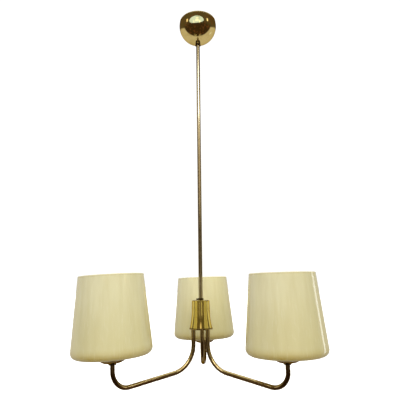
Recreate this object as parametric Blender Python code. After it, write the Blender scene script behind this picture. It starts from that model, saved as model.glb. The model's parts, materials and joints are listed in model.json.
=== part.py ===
"""Three-armed brass pendant lamp with ball canopy, long rod, flared hub and cased-glass shades.

Units are metres, +Z is up.  The origin is the point where the suspension loop bears on the
ceiling hook, on the axis of the rod.  Every named object is one piece of the lamp.
"""

import math

import bmesh
import bpy
from mathutils import Matrix, Vector

MM = 0.001
FIT = 0.3 * MM                      # air left between two pieces that touch

# ---------------------------------------------------------------- driving dimensions

# suspension loop and canopy, inside and below the ceiling line
CEILING_Z = 23.5 * MM               # rim of the canopy, where it meets the ceiling
CANOPY_RADIUS = 51.0 * MM
CANOPY_WALL = 1.0 * MM
CANOPY_CENTRE_Z = 8.4 * MM
CANOPY_LIP = 3.2 * MM               # flat inward lip of the rim
COLLAR_HEIGHT = 8.0 * MM
LOOP_INNER_RADIUS = 11.0 * MM
LOOP_STRIP = 2.0 * MM               # thickness of the loop's steel strip
LOOP_DEPTH = 10.0 * MM              # width of the strip
LOOP_FLOOR_Z = -32.0 * MM           # upper face of the loop's foot
NUT_ACROSS = 14.0 * MM              # nuts of the loop and of the hub, across the flats
NUT_HEIGHT = 3.0 * MM
CEILING_BLOCK = (18.0 * MM, 12.0 * MM, 11.0 * MM)
CEILING_BLOCK_CENTRE = (0.0, 24.0 * MM, -16.0 * MM)
CEILING_BLOCK_SCREWS = 4.5 * MM     # distance of each screw from the block's middle
BLOCK_SCREW_RADIUS = 1.8 * MM
BLOCK_SCREW_DEPTH = 4.0 * MM

# set screws of the two collars
SCREW_THREAD = 1.5 * MM
SCREW_HEAD = 2.3 * MM
SCREW_HEAD_HEIGHT = 2.4 * MM
CANOPY_SCREW_REACH = 10.0 * MM      # from the rod's axis to the face of the head
CANOPY_SCREW_DROP = 3.8 * MM
CANOPY_SCREW_TURN = 180.0
HUB_SCREW_REACH = 10.4 * MM
HUB_SCREW_TURN = 100.0

# rod
ROD_RADIUS = 5.0 * MM
TUBE_WALL = 1.0 * MM
ROD_TOP_Z = -26.5 * MM
CABLE_WINDOW_Z = (-767.0 * MM, -753.0 * MM)
CABLE_WINDOW_WIDTH = 6.4 * MM
ROD_CABLE_RADIUS = 2.2 * MM
ROD_CABLE_TOP = (                   # (y, z) from the ceiling block down into the rod
    (17.6 * MM, -16.0 * MM),
    (9.0 * MM, -16.6 * MM),
    (3.0 * MM, -19.4 * MM),
    (0.2 * MM, -25.0 * MM),
    (0.0, -34.0 * MM),
)
ROD_CABLE_FOOT = (                  # (y, z) out of the rod's window to the hub block
    (0.0, -742.0 * MM),
    (0.6 * MM, -752.0 * MM),
    (4.6 * MM, -757.6 * MM),
    (11.0 * MM, -760.6 * MM),
    (12.5 * MM, -765.0 * MM),
    (12.5 * MM, -768.6 * MM),
)

# hub
HUB_TOP_Z = -735.8 * MM
HUB_BOTTOM_Z = -802.4 * MM
HUB_TOP_RADIUS = 21.0 * MM
HUB_FOOT_RADIUS = 26.3 * MM
HUB_WALL = 1.0 * MM
BASE_RADIUS = 27.7 * MM
BASE_THICKNESS = 3.4 * MM
HUB_COLLAR_RADIUS = 6.7 * MM
HUB_COLLAR_HEIGHT = 4.6 * MM
HUB_BLOCK = (20.0 * MM, 9.0 * MM, 12.0 * MM)
HUB_BLOCK_CENTRE = (0.0, 12.5 * MM, -775.0 * MM)
HUB_BLOCK_SCREWS = 6.0 * MM
HUB_BLOCK_WIRE_SPREAD = 6.9 * MM    # how far apart the arms' cables leave the block
HUB_BLOCK_WIRE_Z = -781.5 * MM

# arms, each a bent tube
ARM_RADIUS = 5.0 * MM
ARM_ROOT = 19.5 * MM                # distance of the arm's root from the axis
ROOT_TURN = math.radians(-5.0)      # how far the hub's base is turned against the lamps
ARM_REACH = 211.3 * MM              # distance of the lamp's axis from the rod's axis
ARM_INNER_BEND = 58.9 * MM
ARM_OUTER_BEND = 33.7 * MM
ARM_FALL = math.radians(9.27)       # slope of the straight stretch
ARM_CABLE_RADIUS = 2.0 * MM
ARM_CABLE_LEAD = 2.4 * MM           # the cables leave block and arm straight for this far

# lamps: a name, the lamp's direction from the rod, how far the hand-bent arm lets the lamp lean
# to -X, and the height of the arm's centre line at its lowest point
LAMPS = (
    ("left", math.radians(210.0), math.radians(2.9), -911.2 * MM),
    ("right", math.radians(330.0), math.radians(0.7), -911.2 * MM),
    ("back", math.radians(90.0), math.radians(1.3), -905.3 * MM),
)
LAMP_FOOT_Z = -859.5 * MM           # underside of the brass dish, origin of each lamp

# lamp pieces, heights measured up from the underside of the dish
DISH_RADIUS = 30.0 * MM
DISH_FLAT = 12.0 * MM
DISH_HEIGHT = 9.2 * MM
DISH_WALL = 1.0 * MM
WASHER_HEIGHT = 1.3 * MM
SHADE_HOLE = 21.0 * MM
SHADE_RIM_RADIUS = 71.2 * MM
SHADE_RIM_Z = 183.0 * MM
SHADE_CORNER_RADIUS = 85.7 * MM     # outer radius where the rounded bottom edge begins
SHADE_CORNER_Z = 29.1 * MM
SHADE_EDGE_ROUND = 13.2 * MM
SHADE_WALL = 3.0 * MM
SHADE_SEAT = 34.0 * MM              # the bottom is flat out to here, where it rests on its washer
RING_NUT_RADIUS = 8.2 * MM
RING_NUT_HEIGHT = 3.5 * MM
WASHER_RADII = (25.6 * MM, 29.6 * MM)
SHADE_RING_RADIUS = 27.0 * MM
SHADE_RING_HEIGHT = 5.0 * MM
SOCKET_THREAD = 19.4 * MM
SOCKET_TOP_Z = 46.0 * MM
SOCKET_CAVITY = 14.2 * MM
SOCKET_FLOOR_Z = 19.0 * MM
CONTACT_HEIGHT = 1.8 * MM
ARM_END_Z = 6.5 * MM
BULB_RADIUS = 30.0 * MM
BULB_LENGTH = 107.0 * MM
BULB_CAP_RADIUS = 12.9 * MM
BULB_NECK_RADIUS = 12.4 * MM
BULB_WALL = 0.9 * MM
BULB_TIP_Z = SOCKET_FLOOR_Z + 2.6 * MM      # lowest point of the bulb's cap
BULB_NECK_Z = SOCKET_TOP_Z + 2.6 * MM       # where cap and glass meet

# facets
ROUND_LARGE = 28
ROUND_MEDIUM = 16
ROUND_SMALL = 12
HEX_SIDES = 12                      # a multiple of six


# ---------------------------------------------------------------- materials

def make_material(name, colour, roughness, metallic=0.0):
    material = bpy.data.materials.new(name)
    material.use_nodes = True
    shader = material.node_tree.nodes["Principled BSDF"]
    shader.inputs["Base Color"].default_value = (*colour, 1.0)
    shader.inputs["Roughness"].default_value = roughness
    shader.inputs["Metallic"].default_value = metallic
    material.diffuse_color = (*colour, 1.0)
    return material


def make_materials():
    return {
        "brass": make_material("polished_brass", (0.66, 0.50, 0.22), 0.16, 1.0),
        "contact_brass": make_material("contact_brass", (0.72, 0.56, 0.27), 0.35, 1.0),
        "steel": make_material("zinc_plated_steel", (0.60, 0.60, 0.60), 0.38, 1.0),
        "glass": make_material("cream_cased_glass", (0.86, 0.80, 0.56), 0.14),
        "bulb": make_material("opal_bulb_glass", (0.92, 0.91, 0.87), 0.30),
        "cap": make_material("nickelled_bulb_cap", (0.68, 0.67, 0.63), 0.34, 1.0),
        "bakelite": make_material("black_bakelite", (0.025, 0.02, 0.018), 0.35),
        "porcelain": make_material("glazed_porcelain", (0.85, 0.83, 0.77), 0.22),
        "rubber": make_material("black_rubber", (0.03, 0.03, 0.03), 0.75),
        "cable": make_material("brown_cable_sheath", (0.16, 0.09, 0.05), 0.6),
    }


# ---------------------------------------------------------------- building tools

def clear_scene():
    for old in list(bpy.data.objects):
        bpy.data.objects.remove(old, do_unlink=True)


def add_object(name, data, material, parent=None):
    obj = bpy.data.objects.new(name, data)
    bpy.context.scene.collection.objects.link(obj)
    data.materials.append(material)
    obj.parent = parent
    return obj


def mesh_from(bm, name):
    """Close a bmesh into a mesh with its faces pointing out and its round faces smooth."""
    bmesh.ops.remove_doubles(bm, verts=bm.verts, dist=0.00001)
    bmesh.ops.recalc_face_normals(bm, faces=bm.faces)
    mesh = bpy.data.meshes.new(name)
    bm.to_mesh(mesh)
    bm.free()
    mesh.shade_smooth()
    mesh.set_sharp_from_angle(angle=math.radians(35.0))
    return mesh


def arc(centre, radius, start, end, steps):
    """Points on an arc in the (radius, height) plane, angles in degrees from +radius."""
    points = []
    for i in range(steps + 1):
        angle = math.radians(start + (end - start) * i / steps)
        points.append((centre[0] + radius * math.cos(angle), centre[1] + radius * math.sin(angle)))
    return points


def turned_mesh(name, outline, sides):
    """Spin a closed (radius, height) outline about Z; points on the axis close the ends."""
    bm = bmesh.new()
    verts = [bm.verts.new((radius, 0.0, height)) for radius, height in outline]
    edges = [bm.edges.new((a, b)) for a, b in zip(verts, verts[1:])]
    if outline[0][0] > 0.0:
        edges.append(bm.edges.new((verts[-1], verts[0])))
    bmesh.ops.spin(bm, geom=verts + edges, cent=(0, 0, 0), axis=(0, 0, 1),
                   angle=2.0 * math.pi, steps=sides, use_merge=True)
    return mesh_from(bm, name)


def turned(name, outline, sides, material, parent=None):
    return add_object(name, turned_mesh(name, outline, sides), material, parent)


def hex_nut_mesh(name, across_flats, height, hole):
    """Hexagonal nut standing on z = 0, its hole as round as its sides allow."""
    bm = bmesh.new()
    rings = []
    for level in (0.0, height):
        for hexagonal in (True, False):
            ring = []
            for i in range(HEX_SIDES):
                angle = 2.0 * math.pi * i / HEX_SIDES
                off_flat = (angle + math.pi / 6.0) % (math.pi / 3.0) - math.pi / 6.0
                radius = 0.5 * across_flats / math.cos(off_flat) if hexagonal else hole
                ring.append(bm.verts.new((radius * math.cos(angle), radius * math.sin(angle), level)))
            rings.append(ring)
    low_out, low_in, high_out, high_in = rings
    for first, second in ((low_out, low_in), (low_in, high_in), (high_in, high_out), (high_out, low_out)):
        for i in range(HEX_SIDES):
            j = (i + 1) % HEX_SIDES
            bm.faces.new((first[i], first[j], second[j], second[i]))
    return mesh_from(bm, name)


def add_cylinder(bm, radius, depth, place, sides=ROUND_SMALL):
    bmesh.ops.create_cone(bm, cap_ends=True, segments=sides, radius1=radius, radius2=radius,
                          depth=depth, matrix=place)


def box_mesh(name, size, bevel=0.0):
    bm = bmesh.new()
    bmesh.ops.create_cube(bm, size=1.0, matrix=Matrix.Diagonal((*size, 1.0)))
    if bevel > 0.0:
        bmesh.ops.bevel(bm, geom=bm.edges[:], offset=bevel, segments=2, profile=0.5, affect="EDGES")
    return mesh_from(bm, name)


def cut(target, bm, name):
    """Cut a bmesh out of an object with an exact Boolean; the cutter stays as a wire guide."""
    bmesh.ops.recalc_face_normals(bm, faces=bm.faces)
    mesh = bpy.data.meshes.new(name)
    bm.to_mesh(mesh)
    bm.free()
    cutter = bpy.data.objects.new(name, mesh)
    bpy.context.scene.collection.objects.link(cutter)
    cutter.parent = target.parent
    cutter.matrix_local = target.matrix_local.copy()
    cutter.hide_render = True
    cutter.display_type = "WIRE"
    boolean = target.modifiers.new("holes", "BOOLEAN")
    boolean.operation = "DIFFERENCE"
    boolean.solver = "EXACT"
    boolean.object = cutter


def swept_curve(name, points, radius, bevel_resolution, capped):
    """A round bar along a polyline of points."""
    curve = bpy.data.curves.new(name, "CURVE")
    curve.dimensions = "3D"
    curve.bevel_depth = radius
    curve.bevel_resolution = bevel_resolution
    curve.use_fill_caps = capped
    spline = curve.splines.new("POLY")
    spline.points.add(len(points) - 1)
    for target, point in zip(spline.points, points):
        target.co = (*point, 1.0)
    spline.use_smooth = True
    return curve


def smooth_route(points, steps):
    """Catmull-Rom curve through a few route points."""
    route = [Vector(p) for p in points]
    padded = [2 * route[0] - route[1]] + route + [2 * route[-1] - route[-2]]
    curve = []
    for a, b, c, d in zip(padded, padded[1:], padded[2:], padded[3:]):
        for i in range(steps):
            t = i / steps
            curve.append(0.5 * (2 * b + (c - a) * t + (2 * a - 5 * b + 4 * c - d) * t * t
                                + (3 * b - a - 3 * c + d) * t * t * t))
    return curve + [route[-1]]


# ---------------------------------------------------------------- top of the lamp

def build_suspension_loop(materials):
    """Steel stirrup that hangs on the ceiling hook, clamped to the rod by two nuts."""
    foot_z = LOOP_FLOOR_Z - LOOP_STRIP
    outer = LOOP_INNER_RADIUS + LOOP_STRIP
    centre = (0.0, -LOOP_INNER_RADIUS)
    outline = [(-outer, foot_z)] + arc(centre, outer, 180, 0, 12) + [(outer, foot_z)]
    window = [(LOOP_INNER_RADIUS, LOOP_FLOOR_Z)] + arc(centre, LOOP_INNER_RADIUS, 0, 180, 12)
    window.append((-LOOP_INNER_RADIUS, LOOP_FLOOR_Z))

    bm = bmesh.new()
    loops = []
    for points in (outline, window):
        verts = [bm.verts.new((x, -0.5 * LOOP_DEPTH, z)) for x, z in points]
        loops += [bm.edges.new((a, b)) for a, b in zip(verts, verts[1:] + verts[:1])]
    bmesh.ops.triangle_fill(bm, edges=loops, use_beauty=True)
    front = bm.faces[:]
    pushed = bmesh.ops.extrude_face_region(bm, geom=front)["geom"]
    moved = [v for v in pushed if isinstance(v, bmesh.types.BMVert)]
    bmesh.ops.translate(bm, vec=(0.0, LOOP_DEPTH, 0.0), verts=moved)
    loop = add_object("suspension_loop", mesh_from(bm, "suspension_loop"), materials["steel"])

    hole = bmesh.new()
    place = Matrix.Translation((0.0, 0.0, foot_z + 0.5 * LOOP_STRIP))
    add_cylinder(hole, ROD_RADIUS + FIT, 3.0 * LOOP_STRIP, place, ROUND_MEDIUM)
    cut(loop, hole, "loop_hole_cutter")

    build_nut("loop_nut_lower", foot_z - FIT - NUT_HEIGHT, materials["steel"])
    build_nut("loop_nut_upper", LOOP_FLOOR_Z + FIT, materials["steel"])


def build_nut(name, height, material):
    """Thin hexagonal nut round the rod, its underside at the given height."""
    nut = add_object(name, hex_nut_mesh(name, NUT_ACROSS, NUT_HEIGHT, ROD_RADIUS + FIT), material)
    nut.location = (0.0, 0.0, height)


def build_terminal_block(name, size, centre, screw_spacing, material):
    """Insulating block with two blind screw holes in its top."""
    block = add_object(name, box_mesh(name, size, 0.8 * MM), material)
    block.location = centre
    holes = bmesh.new()
    for side in (-1, 1):
        place = Matrix.Translation((side * screw_spacing, 0.0, 0.5 * size[2]))
        add_cylinder(holes, BLOCK_SCREW_RADIUS, 2.0 * BLOCK_SCREW_DEPTH, place)
    cut(block, holes, name + "_cutter")


def build_canopy(materials):
    """Ball canopy, cut flat at the ceiling, with its locking collar and set screw."""
    centre = (0.0, CANOPY_CENTRE_Z)
    inner_radius = CANOPY_RADIUS - CANOPY_WALL
    hole = ROD_RADIUS + 0.6 * MM
    rim_angle = math.degrees(math.asin((CEILING_Z - CANOPY_CENTRE_Z) / CANOPY_RADIUS))
    lip_angle = math.degrees(math.asin((CEILING_Z - CANOPY_WALL - CANOPY_CENTRE_Z) / inner_radius))
    outer_hole = -math.degrees(math.acos(hole / CANOPY_RADIUS))
    inner_hole = -math.degrees(math.acos(hole / inner_radius))
    rim_radius = CANOPY_RADIUS * math.cos(math.radians(rim_angle))
    outline = arc(centre, CANOPY_RADIUS, outer_hole, rim_angle, 7)
    outline += [(rim_radius - CANOPY_LIP, CEILING_Z), (rim_radius - CANOPY_LIP, CEILING_Z - CANOPY_WALL)]
    outline += arc(centre, inner_radius, lip_angle, inner_hole, 7)
    turned("canopy", outline, ROUND_LARGE, materials["brass"])

    top = CANOPY_CENTRE_Z - CANOPY_RADIUS - FIT
    bottom = top - COLLAR_HEIGHT
    bore = ROD_RADIUS + FIT
    outline = [(bore, top), (6.9 * MM, top), (6.6 * MM, top - 2.0 * MM), (7.0 * MM, top - 4.6 * MM),
               (7.9 * MM, bottom + 1.6 * MM), (7.6 * MM, bottom + 0.3 * MM), (7.0 * MM, bottom),
               (bore, bottom)]
    collar = turned("canopy_collar", outline, ROUND_MEDIUM, materials["brass"])
    build_set_screw("canopy_set_screw", collar, top - CANOPY_SCREW_DROP, CANOPY_SCREW_REACH,
                    CANOPY_SCREW_TURN, materials["brass"])


def build_set_screw(name, collar, height, reach, turn, material):
    """Small cheese-head screw that enters a collar and stops just short of the rod.

    turn is its direction about the rod in degrees from +Y.
    """
    tip = ROD_RADIUS + FIT
    neck = reach - SCREW_HEAD_HEIGHT
    edge = 0.4 * MM
    outline = [(0.0, tip), (SCREW_THREAD, tip), (SCREW_THREAD, neck), (SCREW_HEAD, neck),
               (SCREW_HEAD, reach - edge), (SCREW_HEAD - edge, reach), (0.0, reach)]
    screw = turned(name, outline, ROUND_SMALL, material)
    screw.rotation_euler = (math.radians(-90.0), 0.0, math.radians(turn))
    screw.location = (0.0, 0.0, height)

    hole = bmesh.new()
    about = Matrix.Rotation(math.radians(turn), 4, "Z") @ Matrix.Rotation(math.radians(-90.0), 4, "X")
    middle = Matrix.Translation((0.0, 0.0, 0.5 * reach))
    place = Matrix.Translation((0.0, 0.0, height)) @ about @ middle
    add_cylinder(hole, SCREW_THREAD + FIT, reach, place)
    cut(collar, hole, name + "_cutter")


# ---------------------------------------------------------------- rod and hub

def build_rod(materials):
    """Brass tube from the suspension loop down into the hub's base, with a window for the cable."""
    bottom = HUB_BOTTOM_Z + 1.0 * MM
    inner = ROD_RADIUS - TUBE_WALL
    outline = [(inner, bottom), (ROD_RADIUS, bottom), (ROD_RADIUS, ROD_TOP_Z), (inner, ROD_TOP_Z)]
    rod = turned("rod", outline, ROUND_SMALL, materials["brass"])
    window = bmesh.new()
    low, high = CABLE_WINDOW_Z
    size = Matrix.Diagonal((CABLE_WINDOW_WIDTH, 2.0 * ROD_RADIUS, high - low, 1.0))
    bmesh.ops.create_cube(window, size=1.0,
                          matrix=Matrix.Translation((0.0, ROD_RADIUS, 0.5 * (low + high))) @ size)
    cut(rod, window, "rod_window_cutter")

    points = []
    for stretch in (ROD_CABLE_TOP, ROD_CABLE_FOOT):
        points += smooth_route([(0.0, y, z) for y, z in stretch], 3)
    curve = swept_curve("rod_cable", points, ROD_CABLE_RADIUS, 2, True)
    add_object("rod_cable", curve, materials["cable"])


def hub_outer_radius(height):
    """Outer radius of the hub's cover: a plain cup that flares over its lower half."""
    straight = HUB_TOP_RADIUS + 0.6 * MM
    foot = HUB_BOTTOM_Z + BASE_THICKNESS + FIT
    flare_top = HUB_TOP_Z - 22.0 * MM
    if height >= flare_top:
        return HUB_TOP_RADIUS + 0.6 * MM * (HUB_TOP_Z - height) / (HUB_TOP_Z - flare_top)
    share = (flare_top - height) / (flare_top - foot)
    return straight + (HUB_FOOT_RADIUS - straight) * share ** 1.8


def build_hub(materials):
    """Flared cover over the base disc that carries the three arms, with nut and collar."""
    foot = HUB_BOTTOM_Z + BASE_THICKNESS + FIT
    edge = 1.6 * MM
    steps = 5
    heights = [foot + (HUB_TOP_Z - edge - foot) * i / steps for i in range(steps + 1)]
    outside = [(hub_outer_radius(h), h) for h in heights]
    inside = [(radius - HUB_WALL, h) for radius, h in reversed(outside)]
    top_corner = arc((HUB_TOP_RADIUS - edge, HUB_TOP_Z - edge), edge, 20, 90, 2)
    bore = ROD_RADIUS + 0.6 * MM
    ceiling = HUB_TOP_Z - HUB_WALL
    inner_corner = (HUB_TOP_RADIUS - HUB_WALL - 0.6 * MM, ceiling)
    outline = outside + top_corner + [(bore, HUB_TOP_Z), (bore, ceiling), inner_corner] + inside
    turned("hub_cover", outline, ROUND_LARGE, materials["brass"])

    low = HUB_TOP_Z + FIT
    high = low + HUB_COLLAR_HEIGHT
    chamfer = 0.6 * MM
    outline = [(ROD_RADIUS + FIT, low), (HUB_COLLAR_RADIUS, low), (HUB_COLLAR_RADIUS, high - chamfer),
               (HUB_COLLAR_RADIUS - chamfer, high), (ROD_RADIUS + FIT, high)]
    collar = turned("hub_collar", outline, ROUND_MEDIUM, materials["brass"])
    build_set_screw("hub_set_screw", collar, low + 0.5 * HUB_COLLAR_HEIGHT, HUB_SCREW_REACH,
                    HUB_SCREW_TURN, materials["brass"])

    chamfer = 0.5 * MM
    top = HUB_BOTTOM_Z + BASE_THICKNESS
    outline = [(0.0, HUB_BOTTOM_Z), (BASE_RADIUS - chamfer, HUB_BOTTOM_Z),
               (BASE_RADIUS, HUB_BOTTOM_Z + chamfer), (BASE_RADIUS, top - chamfer),
               (BASE_RADIUS - chamfer, top), (0.0, top)]
    base = turned("hub_base", outline, ROUND_LARGE, materials["brass"])
    holes = bmesh.new()
    middle = HUB_BOTTOM_Z + 0.5 * BASE_THICKNESS
    centres = [Vector((0.0, 0.0, 0.0))] + [around_axis(ARM_ROOT, lamp[1] + ROOT_TURN) for lamp in LAMPS]
    for centre in centres:
        centre.z = middle
        add_cylinder(holes, ROD_RADIUS + FIT, 3.0 * BASE_THICKNESS, Matrix.Translation(centre))
    cut(base, holes, "hub_base_cutter")

    build_nut("hub_nut", top + FIT, materials["steel"])


# ---------------------------------------------------------------- arms

def around_axis(distance, direction):
    return Vector((distance * math.cos(direction), distance * math.sin(direction), 0.0))


def arm_profile(lowest):
    """Centre line of an arm as (distance from the axis, height), from the hub to the lamp."""
    bend_in = ARM_INNER_BEND
    bend_out = ARM_OUTER_BEND
    fall = math.degrees(ARM_FALL)
    outer_centre = (ARM_REACH - bend_out, lowest + bend_out)
    outer = arc(outer_centre, bend_out, -90.0 - fall, -90.0, 1)
    outer += arc(outer_centre, bend_out, -90.0, 0.0, 5)[1:]
    inner_end = 270.0 - fall
    x_end = ARM_ROOT + bend_in * (1.0 + math.cos(math.radians(inner_end)))
    z_end = outer[0][1] + (outer[0][0] - x_end) * math.tan(ARM_FALL)
    inner_centre = (ARM_ROOT + bend_in, z_end - bend_in * math.sin(math.radians(inner_end)))
    inner = arc(inner_centre, bend_in, 180.0, inner_end, 6)
    root = (ARM_ROOT, HUB_BOTTOM_Z + BASE_THICKNESS + 3.0 * MM)
    tip = (ARM_REACH, LAMP_FOOT_Z + ARM_END_Z)
    return [root] + inner + outer + [tip]


def arm_path(direction, lean, lowest):
    """The arm's centre line in space; its last bend settles into the lamp's lean."""
    root = around_axis(ARM_ROOT, direction + ROOT_TURN)
    lamp = around_axis(ARM_REACH, direction)
    points = []
    for reach, height in arm_profile(lowest):
        point = root.lerp(lamp, (reach - ARM_ROOT) / (ARM_REACH - ARM_ROOT))
        settle = min(1.0, max(0.0, (reach - (ARM_REACH - ARM_OUTER_BEND)) / ARM_OUTER_BEND))
        point.x += math.tan(lean) * (LAMP_FOOT_Z - height) * settle
        point.z = height
        points.append(point)
    return points


def build_arm(tag, direction, lean, lowest, materials):
    """Bent brass tube and the cable that runs through it."""
    path = arm_path(direction, lean, lowest)
    curve = swept_curve("arm_" + tag, path, ARM_RADIUS, 3, False)
    arm = add_object("arm_" + tag, curve, materials["brass"])
    wall = arm.modifiers.new("tube wall", "SOLIDIFY")
    wall.thickness = TUBE_WALL
    wall.offset = -1.0
    wall.use_rim = True

    root = path[0]
    drop = Vector((0.0, 0.0, -ARM_CABLE_LEAD))
    spread = HUB_BLOCK_WIRE_SPREAD * math.cos(direction)
    terminal = Vector((spread, HUB_BLOCK_CENTRE[1], HUB_BLOCK_WIRE_Z))
    entry = root - 2.0 * drop
    halfway = 0.5 * (terminal + 2.0 * drop + entry)
    lead_in = [terminal, terminal + drop, terminal + 2.0 * drop, halfway, entry, root + 2.0 * drop]
    up_lamp = Vector((-math.sin(lean), 0.0, math.cos(lean)))
    end = path[-1] + up_lamp * (6.0 * MM)
    route = smooth_route(lead_in, 2) + path[1:] + [end]
    cable = swept_curve("arm_cable_" + tag, route, ARM_CABLE_RADIUS, 2, True)
    add_object("arm_cable_" + tag, cable, materials["cable"])


# ---------------------------------------------------------------- lamps

def dish_outline():
    """Shallow bowl with a flat middle; outer side first, then the inner side back."""
    rise = DISH_RADIUS - DISH_FLAT
    bend = (rise * rise + DISH_HEIGHT * DISH_HEIGHT) / (2.0 * DISH_HEIGHT)
    sweep = math.degrees(math.asin(rise / bend))
    bore = ARM_RADIUS + FIT
    outside = arc((DISH_FLAT, bend), bend, -90.0, -90.0 + sweep, 4)
    level = math.degrees(math.acos((bend - DISH_HEIGHT) / (bend - DISH_WALL)))
    inside = arc((DISH_FLAT, bend), bend - DISH_WALL, -90.0 + level, -90.0, 4)
    return [(bore, 0.0)] + outside + inside + [(bore, DISH_WALL)]


def shade_outline():
    """Tapered glass: open rim at the top, rounded bottom edge, nearly flat bottom with a hole."""
    bottom = DISH_HEIGHT + WASHER_HEIGHT + 2.0 * FIT
    taper = math.atan2(SHADE_CORNER_RADIUS - SHADE_RIM_RADIUS, SHADE_RIM_Z - SHADE_CORNER_Z)
    edge_centre = (SHADE_CORNER_RADIUS - SHADE_EDGE_ROUND * math.cos(taper),
                   SHADE_CORNER_Z - SHADE_EDGE_ROUND * math.sin(taper))
    start = math.degrees(taper)
    rise = edge_centre[1] - SHADE_EDGE_ROUND - bottom
    dip = math.degrees(math.atan2(rise, edge_centre[0] - SHADE_SEAT))
    outer_edge = arc(edge_centre, SHADE_EDGE_ROUND, -90.0 + dip, start, 5)
    inner_edge = arc(edge_centre, SHADE_EDGE_ROUND - SHADE_WALL, start, -90.0 + dip, 4)
    wall_x = SHADE_WALL / math.cos(taper)
    lip = 0.5 * SHADE_WALL
    rim = [(SHADE_RIM_RADIUS, SHADE_RIM_Z - lip), (SHADE_RIM_RADIUS - 0.6 * lip, SHADE_RIM_Z),
           (SHADE_RIM_RADIUS - 1.4 * lip, SHADE_RIM_Z), (SHADE_RIM_RADIUS - wall_x, SHADE_RIM_Z - lip)]
    floor = bottom + SHADE_WALL
    return ([(SHADE_HOLE, bottom), (SHADE_SEAT, bottom)] + outer_edge + rim + inner_edge
            + [(SHADE_SEAT, floor), (SHADE_HOLE, floor)])


def bulb_outline():
    """Pear-shaped opal envelope, open at the neck: its outside up, then its inside down."""
    top = BULB_TIP_Z + BULB_LENGTH
    ball = (0.0, top - BULB_RADIUS)
    neck = [(BULB_NECK_RADIUS, BULB_NECK_Z), (13.6 * MM, BULB_NECK_Z + 9.0 * MM),
            (19.0 * MM, BULB_NECK_Z + 21.0 * MM)]
    outside = neck + arc(ball, BULB_RADIUS, -34.0, 90.0, 5)[:-1] + [(0.0, top)]
    inside = [(0.0, top - BULB_WALL)] + arc(ball, BULB_RADIUS - BULB_WALL, 90.0, -34.0, 5)[1:]
    inside += [(radius - BULB_WALL, height) for radius, height in reversed(neck)]
    return outside, inside


def build_bulb(tag, lamp, materials):
    outside, inside = bulb_outline()
    bm = bmesh.new()
    verts = [bm.verts.new((radius, 0.0, height)) for radius, height in outside]
    inner_verts = [bm.verts.new((radius, 0.0, height)) for radius, height in inside]
    edges = [bm.edges.new((a, b)) for a, b in zip(verts, verts[1:])]
    edges += [bm.edges.new((a, b)) for a, b in zip(inner_verts, inner_verts[1:])]
    edges.append(bm.edges.new((inner_verts[-1], verts[0])))
    bmesh.ops.spin(bm, geom=verts + inner_verts + edges, cent=(0, 0, 0), axis=(0, 0, 1),
                   angle=2.0 * math.pi, steps=ROUND_MEDIUM, use_merge=True)
    add_object("bulb_" + tag, mesh_from(bm, "bulb_" + tag), materials["bulb"], lamp)

    tip = BULB_TIP_Z
    shell_top = BULB_NECK_Z - FIT
    outline = [(0.0, tip), (4.4 * MM, tip), (4.4 * MM, tip + 1.0 * MM), (10.6 * MM, tip + 4.0 * MM),
               (BULB_CAP_RADIUS, tip + 5.4 * MM), (BULB_CAP_RADIUS, shell_top), (0.0, shell_top)]
    turned("bulb_cap_" + tag, outline, ROUND_SMALL, materials["cap"], lamp)


def build_socket(tag, lamp, materials):
    """Bakelite lamp holder with its brass screw shell and centre contact."""
    arm_bore = ARM_RADIUS + FIT
    foot = DISH_WALL + FIT
    outline = [(arm_bore, foot), (13.5 * MM, foot), (16.6 * MM, 4.4 * MM), (16.6 * MM, 8.6 * MM),
               (SOCKET_THREAD, 10.4 * MM), (SOCKET_THREAD, 37.0 * MM), (17.6 * MM, 38.4 * MM),
               (17.6 * MM, SOCKET_TOP_Z), (SOCKET_CAVITY, SOCKET_TOP_Z), (SOCKET_CAVITY, SOCKET_FLOOR_Z),
               (0.0, SOCKET_FLOOR_Z)]
    cable_bore = ARM_CABLE_RADIUS + 1.0 * MM
    below = [(arm_bore, ARM_END_Z + FIT), (cable_bore, ARM_END_Z + FIT), (cable_bore, 14.0 * MM),
             (0.0, 14.0 * MM)]
    turned("socket_" + tag, outline[::-1] + below, ROUND_MEDIUM, materials["bakelite"], lamp)

    shell_out = SOCKET_CAVITY - FIT
    shell_in = BULB_CAP_RADIUS + FIT
    low = SOCKET_FLOOR_Z + 5.0 * MM
    high = SOCKET_TOP_Z - 0.6 * MM
    outline = [(shell_in, low), (shell_out, low), (shell_out, high), (shell_in, high)]
    turned("screw_shell_" + tag, outline, ROUND_MEDIUM, materials["contact_brass"], lamp)

    low = SOCKET_FLOOR_Z + FIT
    high = low + CONTACT_HEIGHT
    outline = [(0.0, low), (4.8 * MM, low), (4.8 * MM, high - 1.0 * MM), (3.0 * MM, high), (0.0, high)]
    turned("contact_" + tag, outline, ROUND_SMALL, materials["contact_brass"], lamp)


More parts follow.
